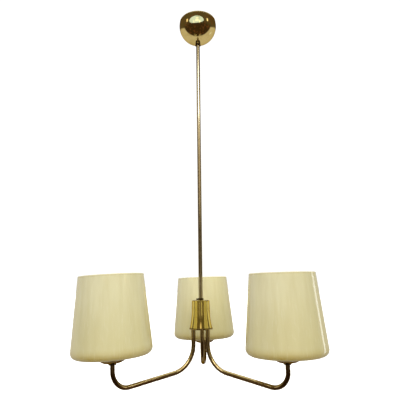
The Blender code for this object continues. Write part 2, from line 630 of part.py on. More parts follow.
def build_lamp(tag, direction, lean, materials):
    """Everything carried on one arm's end, on the lamp's own slightly leaning axis."""
    lamp = bpy.data.objects.new("lamp_axis_" + tag, None)
    bpy.context.scene.collection.objects.link(lamp)
    lamp.location = (ARM_REACH * math.cos(direction), ARM_REACH * math.sin(direction), LAMP_FOOT_Z)
    lamp.rotation_euler = (0.0, -lean, 0.0)

    bore = ARM_RADIUS + FIT
    low = -FIT - RING_NUT_HEIGHT
    chamfer = 0.6 * MM
    outline = [(bore, low), (RING_NUT_RADIUS - chamfer, low), (RING_NUT_RADIUS, low + chamfer),
               (RING_NUT_RADIUS, -FIT - chamfer), (RING_NUT_RADIUS - chamfer, -FIT), (bore, -FIT)]
    turned("ring_nut_" + tag, outline, ROUND_SMALL, materials["brass"], lamp)
    turned("dish_" + tag, dish_outline(), ROUND_MEDIUM, materials["brass"], lamp)
    build_socket(tag, lamp, materials)

    low = DISH_HEIGHT + FIT
    high = low + WASHER_HEIGHT
    inner, outer = WASHER_RADII
    outline = [(inner, low), (outer, low), (outer, high), (inner, high)]
    turned("washer_" + tag, outline, ROUND_MEDIUM, materials["rubber"], lamp)
    turned("shade_" + tag, shade_outline(), ROUND_LARGE, materials["glass"], lamp)

    low = high + SHADE_WALL + 2.0 * FIT
    high = low + SHADE_RING_HEIGHT
    inner = SOCKET_THREAD + 0.5 * MM
    outline = [(inner, low), (SHADE_RING_RADIUS, low), (SHADE_RING_RADIUS, low + 2.0 * MM),
               (SHADE_RING_RADIUS - 3.4 * MM, high), (inner, high)]
    turned("shade_ring_" + tag, outline, ROUND_MEDIUM, materials["bakelite"], lamp)
    build_bulb(tag, lamp, materials)


def main():
    clear_scene()
    materials = make_materials()
    build_suspension_loop(materials)
    build_terminal_block("ceiling_terminal_block", CEILING_BLOCK, CEILING_BLOCK_CENTRE,
                         CEILING_BLOCK_SCREWS, materials["porcelain"])
    build_canopy(materials)
    build_rod(materials)
    build_hub(materials)
    build_terminal_block("hub_terminal_block", HUB_BLOCK, HUB_BLOCK_CENTRE, HUB_BLOCK_SCREWS,
                         materials["porcelain"])
    for tag, direction, lean, lowest in LAMPS:
        build_arm(tag, direction, lean, lowest, materials)
        build_lamp(tag, direction, lean, materials)


main()
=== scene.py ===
"""Studio scene of the three-armed brass pendant lamp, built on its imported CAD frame.

Metres, +Z up.  The origin is the ceiling hook's bearing point on the rod's axis.
"""

import json
import math

import bmesh
import bpy
from mathutils import Matrix, Vector


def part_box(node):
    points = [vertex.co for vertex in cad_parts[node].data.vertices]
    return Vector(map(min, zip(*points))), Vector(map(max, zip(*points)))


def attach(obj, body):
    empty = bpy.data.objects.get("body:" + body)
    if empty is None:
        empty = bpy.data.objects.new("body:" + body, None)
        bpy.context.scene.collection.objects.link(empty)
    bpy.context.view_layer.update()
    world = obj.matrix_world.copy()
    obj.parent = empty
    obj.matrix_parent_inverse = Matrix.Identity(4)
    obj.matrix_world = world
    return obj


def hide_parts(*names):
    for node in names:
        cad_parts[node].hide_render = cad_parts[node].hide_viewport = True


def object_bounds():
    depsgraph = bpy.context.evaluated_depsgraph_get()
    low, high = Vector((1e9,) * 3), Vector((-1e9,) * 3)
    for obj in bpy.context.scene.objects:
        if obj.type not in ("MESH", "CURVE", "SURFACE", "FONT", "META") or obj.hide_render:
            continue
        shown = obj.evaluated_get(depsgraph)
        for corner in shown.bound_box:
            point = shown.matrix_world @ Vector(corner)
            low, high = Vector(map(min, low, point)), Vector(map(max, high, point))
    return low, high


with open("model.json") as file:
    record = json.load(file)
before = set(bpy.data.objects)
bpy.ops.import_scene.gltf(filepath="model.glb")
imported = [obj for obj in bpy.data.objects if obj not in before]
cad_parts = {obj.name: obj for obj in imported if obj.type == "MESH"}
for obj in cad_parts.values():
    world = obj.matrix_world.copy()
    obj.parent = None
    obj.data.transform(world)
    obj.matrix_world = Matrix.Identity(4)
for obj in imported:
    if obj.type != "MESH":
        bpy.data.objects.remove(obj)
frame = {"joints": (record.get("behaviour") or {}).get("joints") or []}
CAD_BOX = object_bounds()

MM = 0.001
LAMPS = {"left": math.radians(210.0), "right": math.radians(330.0), "back": math.radians(90.0)}

# ---------------------------------------------------------------- driving dimensions

ROD_RADIUS = 5.0 * MM
TUBE_WALL = 1.0 * MM
ROD_BORE = ROD_RADIUS + 0.25 * MM   # of the collars and nuts on the rod
ARM_BORE = ROD_RADIUS + 0.2 * MM    # of what the arms go through
NUT_FLATS = 14.0 * MM
NUT_HEIGHT = 3.0 * MM
CABLE_WINDOW = (6.4 * MM, 14.0 * MM)    # width and height of the opening in the rod
CABLE_WINDOW_Z = -760.0 * MM
ROD_CABLE_RADIUS = 2.15 * MM
ARM_CABLE_RADIUS = 1.95 * MM
ARM_CABLE_LEAD = 2.4 * MM           # the cables leave block and arm straight for this far
CANOPY_RADIUS = 51.0 * MM
CANOPY_DROP = 15.1 * MM             # from the ceiling down to the ball's centre
CANOPY_LIP = 3.2 * MM
HUB_TOP_RADIUS = 21.0 * MM
HUB_FOOT_RADIUS = 26.3 * MM
HUB_STRAIGHT = 22.0 * MM            # height of the hub's nearly straight upper part
ARM_ROOT = 19.5 * MM
ROOT_TURN = math.radians(-5.0)      # how far the hub's base is turned against the lamps
ARM_TOP_Z = -796.0 * MM
ARM_REACH = 211.3 * MM
ARM_INNER_BEND = 58.9 * MM
ARM_OUTER_BEND = 33.7 * MM
ARM_FALL = 9.27                     # degrees
DISH_RADIUS = 30.0 * MM
DISH_FLAT = 12.0 * MM
DISH_HEIGHT = 9.2 * MM
SHADE_BOTTOM = 11.1 * MM            # lamp heights are measured from the dish's underside
SHADE_RIM_RADIUS = 71.2 * MM
SHADE_RIM_Z = 183.0 * MM
SHADE_CORNER_RADIUS = 85.7 * MM
SHADE_CORNER_Z = 29.1 * MM
SHADE_EDGE_ROUND = 13.2 * MM
SHADE_WALL = 3.0 * MM
SHADE_HOLE = 21.0 * MM
SOCKET_TOP_Z = 46.0 * MM
BULB_RADIUS = 30.0 * MM
BULB_TOP_Z = 128.6 * MM
BULB_NECK_RADIUS = 12.4 * MM
BULB_SHOULDER = 34.0                # degrees below the ball's middle where the neck begins
BULB_WALL = 0.9 * MM
BULB_TIP_Z = 21.6 * MM
LAMP_FOOT_Z = -859.5 * MM


# ---------------------------------------------------------------- node helpers

class Nodes:
    """Short calls for building a node tree."""

    def __init__(self, tree):
        self.tree = tree

    def add(self, kind, settings=None, **inputs):
        node = self.tree.nodes.new(kind)
        for key, value in (settings or {}).items():
            setattr(node, key, value)
        for key, value in inputs.items():
            self.put(node.inputs[key.replace("_", " ")], value)
        return node

    def put(self, socket, value):
        if isinstance(value, bpy.types.NodeSocket):
            self.tree.links.new(value, socket)
        else:
            socket.default_value = value

    def math(self, operation, a, b=0.0, clamp=False):
        node = self.add("ShaderNodeMath", {"operation": operation, "use_clamp": clamp})
        self.put(node.inputs[0], a)
        self.put(node.inputs[1], b)
        return node.outputs[0]

    def ramp(self, value, low, high, start=0.0, end=1.0):
        """Smooth step of value between low and high, mapped to start and end."""
        node = self.add("ShaderNodeMapRange", {"interpolation_type": "SMOOTHSTEP"})
        for socket, number in zip(node.inputs, (value, low, high, start, end)):
            self.put(socket, number)
        return node.outputs[0]

    def mix(self, factor, a, b):
        node = self.add("ShaderNodeMix", {"data_type": "RGBA"})
        self.put(node.inputs[0], factor)
        self.put(node.inputs[6], a)
        self.put(node.inputs[7], b)
        return node.outputs[2]

    def noise(self, vector, scale, detail=4.0, roughness=0.55):
        return self.add("ShaderNodeTexNoise", None, Vector=vector, Scale=scale, Detail=detail,
                        Roughness=roughness).outputs["Fac"]

    def stretched(self, vector, scale):
        return self.add("ShaderNodeMapping", None, Vector=vector, Scale=scale).outputs[0]

    def bump(self, height, strength, distance):
        return self.add("ShaderNodeBump", None, Height=height, Strength=strength,
                        Distance=distance).outputs[0]


def new_material(name):
    material = bpy.data.materials.new(name)
    material.use_nodes = True
    nodes = Nodes(material.node_tree)
    shader = material.node_tree.nodes["Principled BSDF"]
    place = nodes.add("ShaderNodeTexCoord").outputs["Object"]
    return material, nodes, shader, place


def rgb(red, green, blue):
    return (red, green, blue, 1.0)


# ---------------------------------------------------------------- materials

def brass(name, bright, aged, age_from, age_to, rough_low, rough_high, painted_shade=None,
          rim=(0.8, 0.7, 0.5)):
    """Lacquer-free brass: clouds of tarnish, small dark spots, wiping marks and fine scratches.

    The shade callback gives how far a place is darkened by painted shade, from 0 to 1; rim tints the
    reflection at a glancing angle.
    """
    material, nodes, shader, place = new_material(name)
    clouds = nodes.noise(place, 38.0, 6.0, 0.62)
    tarnish = nodes.ramp(clouds, age_from, age_to)
    colour = nodes.mix(tarnish, rgb(*bright), rgb(*aged))
    spots = nodes.ramp(nodes.noise(place, 420.0, 3.0, 0.5), 0.68, 0.76, 0.0, 0.28)
    colour = nodes.mix(spots, colour, rgb(aged[0] * 0.55, aged[1] * 0.5, aged[2] * 0.45))
    # Painted shade: the callback's mask, roughened by noise, darkens the colour toward a near-black brown.
    if painted_shade:
        edge = nodes.math("MULTIPLY", nodes.math("SUBTRACT", nodes.noise(place, 90.0, 4.0), 0.5), 0.5)
        brown = nodes.math("ADD", painted_shade(nodes, place), edge, clamp=True)
        colour = nodes.mix(nodes.math("MULTIPLY", brown, 0.85), colour, rgb(0.10, 0.055, 0.022))
    nodes.put(shader.inputs["Base Color"], colour)
    shader.inputs["Metallic"].default_value = 1.0
    shader.inputs["Specular Tint"].default_value = rgb(*rim)

    smears = nodes.noise(nodes.stretched(place, (1.0, 1.0, 0.25)), 160.0, 4.0, 0.6)
    rough = nodes.ramp(smears, 0.35, 0.72, rough_low, rough_high)
    rough = nodes.math("ADD", rough, nodes.math("MULTIPLY", tarnish, 0.04))
    nodes.put(shader.inputs["Roughness"], rough)

    scratches = nodes.noise(nodes.stretched(place, (1.0, 1.0, 0.06)), 2600.0, 2.0, 0.5)
    dents = nodes.noise(place, 55.0, 2.0, 0.4)
    height = nodes.math("ADD", nodes.math("MULTIPLY", scratches, 0.12), dents)
    nodes.put(shader.inputs["Normal"], nodes.bump(height, 0.2, 0.00025))
    return material


def underside(nodes, amount):
    """How far a place faces down, for painted shade that darkens downward faces."""
    normal = nodes.add("ShaderNodeNewGeometry").outputs["Normal"]
    down = nodes.add("ShaderNodeSeparateXYZ", None, Vector=normal).outputs["Z"]
    return nodes.ramp(down, 0.10, -0.55, 0.0, amount)


def arm_painted_shade(nodes, place):
    """Painted shade and painted dark reflection: the arms' colour darkens underneath, near the hub, under the
    glasses, and most on the back arm.
    """
    x, y, _ = nodes.add("ShaderNodeSeparateXYZ", None, Vector=place).outputs
    reach = nodes.math("SQRT", nodes.math("ADD", nodes.math("MULTIPLY", x, x), nodes.math("MULTIPLY", y, y)))
    near_hub = nodes.ramp(reach, 0.034, 0.022, 0.0, 0.8)
    under_glass = nodes.ramp(reach, 0.180, 0.206)
    back = nodes.ramp(y, 0.012, 0.030, 0.0, 0.75)
    brown = nodes.math("MAXIMUM", nodes.math("MAXIMUM", near_hub, under_glass), back)
    return nodes.math("MAXIMUM", brown, underside(nodes, 0.9))


# Painted shade: the dish's colour darkens where it faces down.
def dish_painted_shade(nodes, place):
    return underside(nodes, 1.0)


def rod_painted_shade(nodes, place):
    """Painted shade: the rod's colour darkens toward its foot, standing in for its darker reflections there.
    """
    height = nodes.add("ShaderNodeSeparateXYZ", None, Vector=place).outputs["Z"]
    return nodes.ramp(height, -0.24, -0.42, 0.0, 0.56)


def shade_glass():
    """Cream cased glass: soft vertical draw marks, cloudy tint, painted shade darker toward the bottom and on
    the bottom roll, and a warmer body colour where the surface is seen at a slant.
    """
    material, nodes, shader, place = new_material("cream_cased_glass")
    height = nodes.add("ShaderNodeSeparateXYZ", None, Vector=place).outputs["Z"]
    # Painted shade: the body colour darkens from the rim down toward the bottom.
    body = nodes.mix(nodes.ramp(height, 0.030, 0.165), rgb(0.545, 0.495, 0.285), rgb(0.615, 0.575, 0.385))
    edge = nodes.add("ShaderNodeLayerWeight", None, Blend=0.5).outputs["Facing"]
    body = nodes.mix(nodes.ramp(edge, 0.40, 0.95, 0.0, 0.55), body, rgb(0.66, 0.54, 0.26))
    # Painted shade: a deep brown band on the bottom roll, which faces down.
    low = nodes.ramp(height, 0.040, 0.010)
    body = nodes.mix(low, body, rgb(0.36, 0.235, 0.01))
    streaks = nodes.noise(nodes.stretched(place, (1.0, 1.0, 0.03)), 105.0, 5.0, 0.6)
    body = nodes.mix(nodes.ramp(streaks, 0.32, 0.70, 0.0, 0.26), body, rgb(0.47, 0.41, 0.21))
    hairs = nodes.noise(nodes.stretched(place, (1.0, 1.0, 0.012)), 420.0, 3.0, 0.5)
    body = nodes.mix(nodes.ramp(hairs, 0.55, 0.72, 0.0, 0.16), body, rgb(0.72, 0.70, 0.54))
    clouds = nodes.noise(place, 14.0, 4.0, 0.5)
    body = nodes.mix(nodes.ramp(clouds, 0.35, 0.70, 0.0, 0.14), body, rgb(0.68, 0.65, 0.47))
    seeds = nodes.ramp(nodes.noise(place, 700.0, 1.0, 0.4), 0.77, 0.80, 0.0, 0.35)
    body = nodes.mix(seeds, body, rgb(0.42, 0.34, 0.17))
    line = nodes.math("MULTIPLY", nodes.ramp(height, SHADE_RIM_Z - 4.2 * MM, SHADE_RIM_Z - 3.4 * MM),
                      nodes.ramp(height, SHADE_RIM_Z - 2.2 * MM, SHADE_RIM_Z - 2.8 * MM))
    body = nodes.mix(nodes.math("MULTIPLY", line, 0.35), body, rgb(0.46, 0.38, 0.18))
    ground = nodes.ramp(height, SHADE_RIM_Z - 1.6 * MM, SHADE_RIM_Z - 0.7 * MM, 0.0, 0.5)
    body = nodes.mix(ground, body, rgb(0.84, 0.80, 0.66))
    nodes.put(shader.inputs["Base Color"], body)
    rough = nodes.ramp(nodes.noise(place, 60.0, 4.0, 0.6), 0.3, 0.75, 0.06, 0.15)
    rough = nodes.math("ADD", rough, nodes.math("MULTIPLY", ground, 0.7))
    nodes.put(shader.inputs["Roughness"], rough)
    waves = nodes.noise(nodes.stretched(place, (1.0, 1.0, 0.18)), 26.0, 2.0, 0.4)
    nodes.put(shader.inputs["Normal"], nodes.bump(waves, 0.35, 0.0012))
    shader.inputs["IOR"].default_value = 1.52
    shader.inputs["Specular Tint"].default_value = rgb(1.0, 0.95, 0.75)
    shader.inputs["Subsurface Weight"].default_value = 0.12
    shader.inputs["Subsurface Scale"].default_value = 0.004
    shader.inputs["Subsurface Radius"].default_value = (1.0, 0.8, 0.5)
    return material


def opal_bulb():
    material, nodes, shader, place = new_material("opal_bulb_glass")
    clouds = nodes.noise(place, 45.0, 3.0, 0.5)
    colour = nodes.mix(nodes.ramp(clouds, 0.3, 0.7), rgb(0.86, 0.85, 0.80), rgb(0.92, 0.91, 0.88))
    nodes.put(shader.inputs["Base Color"], colour)
    nodes.put(shader.inputs["Roughness"], nodes.ramp(clouds, 0.3, 0.7, 0.16, 0.26))
    nodes.put(shader.inputs["Normal"], nodes.bump(nodes.noise(place, 900.0, 2.0), 0.08, 0.0002))
    return material


def plain(name, dark, light, rough_low, rough_high, grain, bump, metallic=0.0):
    """Fine-grained finish for the hidden and small pieces."""
    material, nodes, shader, place = new_material(name)
    cloud = nodes.noise(place, grain, 4.0, 0.6)
    nodes.put(shader.inputs["Base Color"], nodes.mix(nodes.ramp(cloud, 0.3, 0.7), rgb(*dark), rgb(*light)))
    nodes.put(shader.inputs["Roughness"], nodes.ramp(cloud, 0.3, 0.7, rough_low, rough_high))
    nodes.put(shader.inputs["Normal"], nodes.bump(nodes.noise(place, grain * 6.0, 3.0), bump, 0.0002))
    shader.inputs["Metallic"].default_value = metallic
    return material


def make_materials():
    return {
        "brass": brass("aged_brass", (0.78, 0.61, 0.25), (0.62, 0.46, 0.16), 0.42, 0.74, 0.05, 0.12),
        "rod_brass": brass("rod_brass", (0.84, 0.75, 0.52), (0.76, 0.66, 0.43), 0.42, 0.74, 0.10, 0.18,
                           rod_painted_shade),
        "hub_brass": brass("hub_brass", (0.90, 0.73, 0.22), (0.72, 0.56, 0.15), 0.45, 0.78, 0.05, 0.11,
                           rim=(0.40, 0.22, 0.09)),
        "arm_brass": brass("arm_brass", (0.82, 0.66, 0.34), (0.50, 0.35, 0.15), 0.40, 0.72, 0.06, 0.14,
                           arm_painted_shade, (0.30, 0.20, 0.10)),
        "dish_brass": brass("dish_brass", (0.74, 0.58, 0.26), (0.54, 0.39, 0.15), 0.42, 0.74, 0.06, 0.14,
                            dish_painted_shade, (0.45, 0.34, 0.20)),
        # Painted shade: the next two are darkened copies of brass, for the hub disc and for the collars, the
        # hub's set screw and the ring nuts.
        "shaded_flange_brass": brass("shaded_flange_brass", (0.42, 0.31, 0.12), (0.24, 0.16, 0.06), 0.35, 0.65, 0.10, 0.2),
        "shaded_dark_brass": brass("shaded_dark_brass", (0.15, 0.095, 0.04), (0.08, 0.048, 0.02), 0.35, 0.65, 0.16, 0.30,
                            rim=(0.35, 0.24, 0.14)),
        "contact_brass": brass("contact_brass", (0.78, 0.60, 0.30), (0.55, 0.40, 0.18), 0.4, 0.7, 0.2, 0.32),
        "glass": shade_glass(),
        "bulb": opal_bulb(),
        "cap": plain("nickelled_cap", (0.52, 0.50, 0.46), (0.70, 0.69, 0.65), 0.22, 0.38, 300.0, 0.15, 1.0),
        "steel": plain("zinc_plated_steel", (0.45, 0.45, 0.44), (0.62, 0.62, 0.60), 0.3, 0.5, 260.0,
                       0.2, 1.0),
        "bakelite": plain("black_bakelite", (0.018, 0.015, 0.013), (0.035, 0.028, 0.024), 0.2, 0.4, 220.0,
                          0.1),
        "porcelain": plain("glazed_porcelain", (0.74, 0.71, 0.63), (0.84, 0.82, 0.76), 0.12, 0.25, 90.0,
                           0.05),
        "rubber": plain("black_rubber", (0.02, 0.02, 0.02), (0.045, 0.043, 0.04), 0.6, 0.85, 500.0, 0.3),
        "cable": plain("brown_cable_sheath", (0.10, 0.055, 0.03), (0.20, 0.115, 0.065), 0.45, 0.7, 900.0,
                       0.4),
    }


# ---------------------------------------------------------------- mesh helpers

def arc(centre, radius, start, end, steps):
    """Points on an arc in the (radius, height) plane, angles in degrees from +radius."""
    points = []
    for i in range(steps + 1):
        angle = math.radians(start + (end - start) * i / steps)
        points.append((centre[0] + radius * math.cos(angle), centre[1] + radius * math.sin(angle)))
    return points


def finish_piece(obj, material, body, cad_nodes, place=None):
    """Link a piece, put it in place, give it its finish and hang it on its CAD body."""
    bpy.context.scene.collection.objects.link(obj)
    if place is not None:
        obj.matrix_world = place
    obj.data.materials.append(material)
    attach(obj, body)
    if cad_nodes:
        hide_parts(*cad_nodes)
    return obj


def smooth_mesh(bm, name, sharp=38.0):
    bmesh.ops.recalc_face_normals(bm, faces=bm.faces)
    mesh = bpy.data.meshes.new(name)
    bm.to_mesh(mesh)
    bm.free()
    mesh.shade_smooth()
    mesh.set_sharp_from_angle(angle=math.radians(sharp))
    return mesh


def revolved(name, outline, sides=96, sharp=38.0, closed=True):
    """Mesh of revolution from a (radius, height) outline; a point on the axis makes a pole."""
    bm = bmesh.new()
    rings = []
    for radius, height in outline:
        if radius < 1e-7:
            rings.append([bm.verts.new((0.0, 0.0, height))])
            continue
        turn = 2.0 * math.pi / sides
        rings.append([bm.verts.new((radius * math.cos(i * turn), radius * math.sin(i * turn), height))
                      for i in range(sides)])
    pairs = list(zip(rings, rings[1:]))
    if closed and len(rings[0]) > 1:
        pairs.append((rings[-1], rings[0]))
    for low, high in pairs:
        for i in range(sides):
            j = (i + 1) % sides
            corners = [low[i % len(low)], low[j % len(low)], high[j % len(high)], high[i % len(high)]]
            unique = list(dict.fromkeys(corners))
            if len(unique) > 2:
                bm.faces.new(unique)
    return smooth_mesh(bm, name, sharp)


def ridges(radius, low, high, pitch, depth, steps=6):
    """Outline points of a rounded thread or ribbing between two heights, at most radius wide."""
    count = max(1, round((high - low) / pitch)) * steps
    points = []
    for i in range(count + 1):
        wave = 0.5 - 0.5 * math.cos(2.0 * math.pi * i / steps)
        points.append((radius - depth * (1.0 - wave), low + (high - low) * i / count))
    return points


def carve(obj, cutter_mesh):
    """Cut a mesh out of a piece for good."""
    cutter = bpy.data.objects.new("cutter", cutter_mesh)
    bpy.context.scene.collection.objects.link(cutter)
    cutter.matrix_world = obj.matrix_world.copy()
    boolean = obj.modifiers.new("cut", "BOOLEAN")
    boolean.object = cutter
    boolean.solver = "EXACT"
    bpy.context.view_layer.update()
    evaluated = obj.evaluated_get(bpy.context.evaluated_depsgraph_get())
    mesh = bpy.data.meshes.new_from_object(evaluated)
    obj.modifiers.clear()
    obj.data = mesh
    bpy.data.objects.remove(cutter)


def block_mesh(name, size, centre, bevel=0.0, segments=3):
    bm = bmesh.new()
    bmesh.ops.create_cube(bm, size=1.0, matrix=Matrix.Translation(centre) @ Matrix.Diagonal((*size, 1.0)))
    if bevel > 0.0:
        bmesh.ops.bevel(bm, geom=bm.edges[:], offset=bevel, segments=segments, profile=0.5, affect="EDGES")
    return smooth_mesh(bm, name, 50.0)


def tube(name, points, radius, material, body, cad_nodes, resolution=10):
    """Round bar along a dense polyline."""
    curve = bpy.data.curves.new(name, "CURVE")
    curve.dimensions = "3D"
    curve.bevel_depth = radius
    curve.bevel_resolution = resolution
    curve.use_fill_caps = True
    spline = curve.splines.new("POLY")
    spline.points.add(len(points) - 1)
    for target, point in zip(spline.points, points):
        target.co = (*point, 1.0)
    spline.use_smooth = True
    return finish_piece(bpy.data.objects.new(name, curve), material, body, cad_nodes)


def smooth_route(points, steps):
    """Catmull-Rom curve through a few route points."""
    route = [Vector(p) for p in points]
    padded = [2 * route[0] - route[1]] + route + [2 * route[-1] - route[-2]]
    curve = []
    for a, b, c, d in zip(padded, padded[1:], padded[2:], padded[3:]):
        for i in range(steps):
            t = i / steps
            curve.append(0.5 * (2 * b + (c - a) * t + (2 * a - 5 * b + 4 * c - d) * t * t
                                + (3 * b - a - 3 * c + d) * t * t * t))
    return curve + [route[-1]]


def hex_nut(name, across_flats, height, hole, low, material, cad_node):
    """Hexagon nut with chamfered corners: a turned blank trimmed by six flats."""
    corner = across_flats / math.sqrt(3.0)
    cut = 0.35 * (corner - 0.5 * across_flats)
    outline = [(hole, low + 0.3 * MM), (hole + 0.4 * MM, low), (corner - cut * 2.4, low), (corner, low + cut),
               (corner, low + height - cut), (corner - cut * 2.4, low + height),
               (hole + 0.4 * MM, low + height), (hole, low + height - 0.3 * MM)]
    bm = bmesh.new()
    bm.from_mesh(revolved(name, outline, 72))
    for i in range(6):
        normal = Vector((math.cos(math.radians(60 * i + 30)), math.sin(math.radians(60 * i + 30)), 0.0))
        point = normal * 0.5 * across_flats
        bmesh.ops.bisect_plane(bm, geom=bm.verts[:] + bm.edges[:] + bm.faces[:], plane_co=point,
                               plane_no=normal, clear_outer=True)
        rim = [e for e in bm.edges if e.is_boundary]
        bmesh.ops.holes_fill(bm, edges=rim)
    mesh = smooth_mesh(bm, name, 30.0)
    return finish_piece(bpy.data.objects.new(name, mesh), material, "frame", [cad_node])


# ---------------------------------------------------------------- top of the lamp

def build_canopy(materials):
    """Ball canopy with a rolled bead under its rim and a flat inward lip."""
    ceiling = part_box("canopy")[1].z
    centre = (0.0, ceiling - CANOPY_DROP)
    wall = 0.9 * MM
    hole = 5.6 * MM
    bead = 0.55 * MM
    rim_radius = math.sqrt(CANOPY_RADIUS ** 2 - CANOPY_DROP ** 2)
    bead_z = ceiling - 2.4 * MM
    bead_angle = math.degrees(math.asin((bead_z - 0.8 * MM - centre[1]) / CANOPY_RADIUS))
    start = -math.degrees(math.acos(hole / CANOPY_RADIUS))
    outline = arc(centre, CANOPY_RADIUS - 0.02 * MM, start, bead_angle, 44)
    bead_x = math.sqrt(CANOPY_RADIUS ** 2 - (bead_z - centre[1]) ** 2) - 0.1 * MM
    outline += arc((bead_x, bead_z), bead, -70.0, 80.0, 8)
    outline += [(rim_radius - 0.1 * MM, ceiling - 0.9 * MM), (rim_radius - 0.3 * MM, ceiling - 0.25 * MM),
                (rim_radius - 0.8 * MM, ceiling), (rim_radius - CANOPY_LIP + 0.3 * MM, ceiling),
                (rim_radius - CANOPY_LIP, ceiling - 0.4 * MM), (rim_radius - CANOPY_LIP, ceiling - wall)]
    inner_end = math.degrees(math.asin((ceiling - 1.2 * MM - centre[1]) / (CANOPY_RADIUS - wall)))
    outline += arc(centre, CANOPY_RADIUS - wall, inner_end, start, 36)
    mesh = revolved("ball_canopy", outline, 128)
    finish_piece(bpy.data.objects.new("ball_canopy", mesh), materials["brass"], "canopy_set",
                 ["canopy"])

    low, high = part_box("canopy_collar")
    top = high.z
    bottom = low.z
    bore = ROD_BORE
    outline = [(bore, top), (6.9 * MM, top), (6.62 * MM, top - 1.2 * MM), (6.5 * MM, top - 2.4 * MM),
               (6.62 * MM, top - 3.6 * MM), (7.0 * MM, top - 4.8 * MM), (7.45 * MM, top - 5.8 * MM)]
    outline += arc((7.2 * MM, bottom + 1.1 * MM), 0.68 * MM, 40.0, -60.0, 8)
    outline += [(7.0 * MM, bottom), (bore + 0.4 * MM, bottom), (bore, bottom + 0.4 * MM)]
    mesh = revolved("funnel_collar", outline, 72)
    finish_piece(bpy.data.objects.new("funnel_collar", mesh), materials["shaded_dark_brass"], "canopy_set",
                 ["canopy_collar"])
    build_set_screw("canopy_set_screw", materials["brass"], "canopy_set", 10.0 * MM, 180.0)


def build_set_screw(cad_node, material, body, reach, turn):
    """Cheese-head screw with a slot; reach is its face's distance from the rod's axis."""
    low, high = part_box(cad_node)
    height = 0.5 * (low.z + high.z)
    head = 0.5 * (high.z - low.z)
    tip = ROD_RADIUS + 0.3 * MM
    thread = 1.5 * MM
    neck = reach - 2.4 * MM
    outline = [(0.0, tip), (thread - 0.3 * MM, tip), (thread, tip + 0.3 * MM), (thread, neck),
               (head - 0.1 * MM, neck), (head, neck + 0.2 * MM)]
    outline += arc((head - 0.5 * MM, reach - 0.55 * MM), 0.5 * MM, 0.0, 80.0, 6)
    outline += [(0.5 * head, reach - 0.02 * MM), (0.0, reach)]
    mesh = revolved(cad_node + "_turned", outline, 48)
    place = (Matrix.Translation((0.0, 0.0, height)) @ Matrix.Rotation(math.radians(turn), 4, "Z")
             @ Matrix.Rotation(math.radians(-90.0), 4, "X"))
    screw = bpy.data.objects.new(cad_node + "_slotted", mesh)
    finish_piece(screw, material, body, [cad_node], place)
    carve(screw, block_mesh("slot", (0.6 * MM, 3.0 * head, 1.2 * MM), (0.0, 0.0, reach)))


def build_suspension(materials):
    """Steel stirrup with rounded edges, and its two nuts."""
    low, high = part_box("suspension_loop")
    strip = 2.0 * MM
    outer = 0.5 * (high.x - low.x)
    centre_z = high.z - outer
    middle = outer - 0.5 * strip
    path = [(-middle, low.z + 3.0 * MM)] + arc((0.0, centre_z), middle, 180.0, 0.0, 40)
    path += [(middle, low.z + 3.0 * MM)]
    foot = low.z + 0.5 * strip
    corner = 2.0 * MM
    path += arc((middle - corner, foot + corner), corner, 0.0, -90.0, 8)
    path += arc((corner - middle, foot + corner), corner, -90.0, -180.0, 8)
    bm = bmesh.new()
    rings = []
    section = arc((0.0, 0.0), 1.0, 0.0, 360.0, 24)[:-1]
    half_width = 0.5 * (high.y - low.y)
    for i, (x, z) in enumerate(path):
        before = Vector(path[i - 1])
        after = Vector(path[(i + 1) % len(path)])
        along = (after - before).normalized()
        side = Vector((along.y, -along.x))
        ring = []
        for a, b in section:
            across = math.copysign(abs(a) ** 0.25, a) * 0.5 * strip
            deep = math.copysign(abs(b) ** 0.25, b) * half_width
            ring.append(bm.verts.new((x + side.x * across, deep, z + side.y * across)))
        rings.append(ring)
    for first, second in zip(rings, rings[1:] + rings[:1]):
        for i in range(len(section)):
            j = (i + 1) % len(section)
            bm.faces.new((first[i], first[j], second[j], second[i]))
    loop = bpy.data.objects.new("steel_stirrup", smooth_mesh(bm, "steel_stirrup", 50.0))
    finish_piece(loop, materials["steel"], "frame", ["suspension_loop"])
    reach = 3.0 * MM
    hole = [(0.0, foot - reach), (ROD_BORE, foot - reach), (ROD_BORE, foot + reach), (0.0, foot + reach)]
    carve(loop, revolved("hole", hole, 48))
    for name in ("loop_nut_lower", "loop_nut_upper"):
        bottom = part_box(name)[0].z
        hex_nut(name + "_chamfered", NUT_FLATS, NUT_HEIGHT, ROD_BORE, bottom, materials["steel"], name)


def build_terminal_block(cad_node, screw_spacing, materials):
    """Moulded block with flared screw holes along its top, and the screws in them."""
    low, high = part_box(cad_node)
    size = high - low
    centre = 0.5 * (low + high)
    mesh = block_mesh(cad_node + "_moulded", size, centre, 1.4 * MM)
    block = bpy.data.objects.new(cad_node + "_moulded", mesh)
    finish_piece(block, materials["porcelain"], "frame", [cad_node])
    depth = 4.0 * MM
    for side in (-1, 1):
        outline = [(0.0, -depth), (1.8 * MM, -depth), (1.8 * MM, -0.7 * MM), (2.6 * MM, 0.4 * MM),
                   (0.0, 0.4 * MM)]
        cutter = revolved("screw_hole", outline, 32)
        cutter.transform(Matrix.Translation((centre.x + side * screw_spacing, centre.y, high.z)))
        carve(block, cutter)
        outline = [(0.0, -depth + 0.1 * MM), (1.65 * MM, -depth + 0.1 * MM), (1.65 * MM, -1.5 * MM),
                   (1.2 * MM, -1.1 * MM), (0.0, -1.0 * MM)]
        head = revolved("terminal_screw", outline, 32)
        head.transform(Matrix.Translation((centre.x + side * screw_spacing, centre.y, high.z)))
        tag = "a" if side < 0 else "b"
        finish_piece(bpy.data.objects.new(f"{cad_node}_screw_{tag}", head), materials["contact_brass"],
                     "frame", [])


# ---------------------------------------------------------------- rod and hub

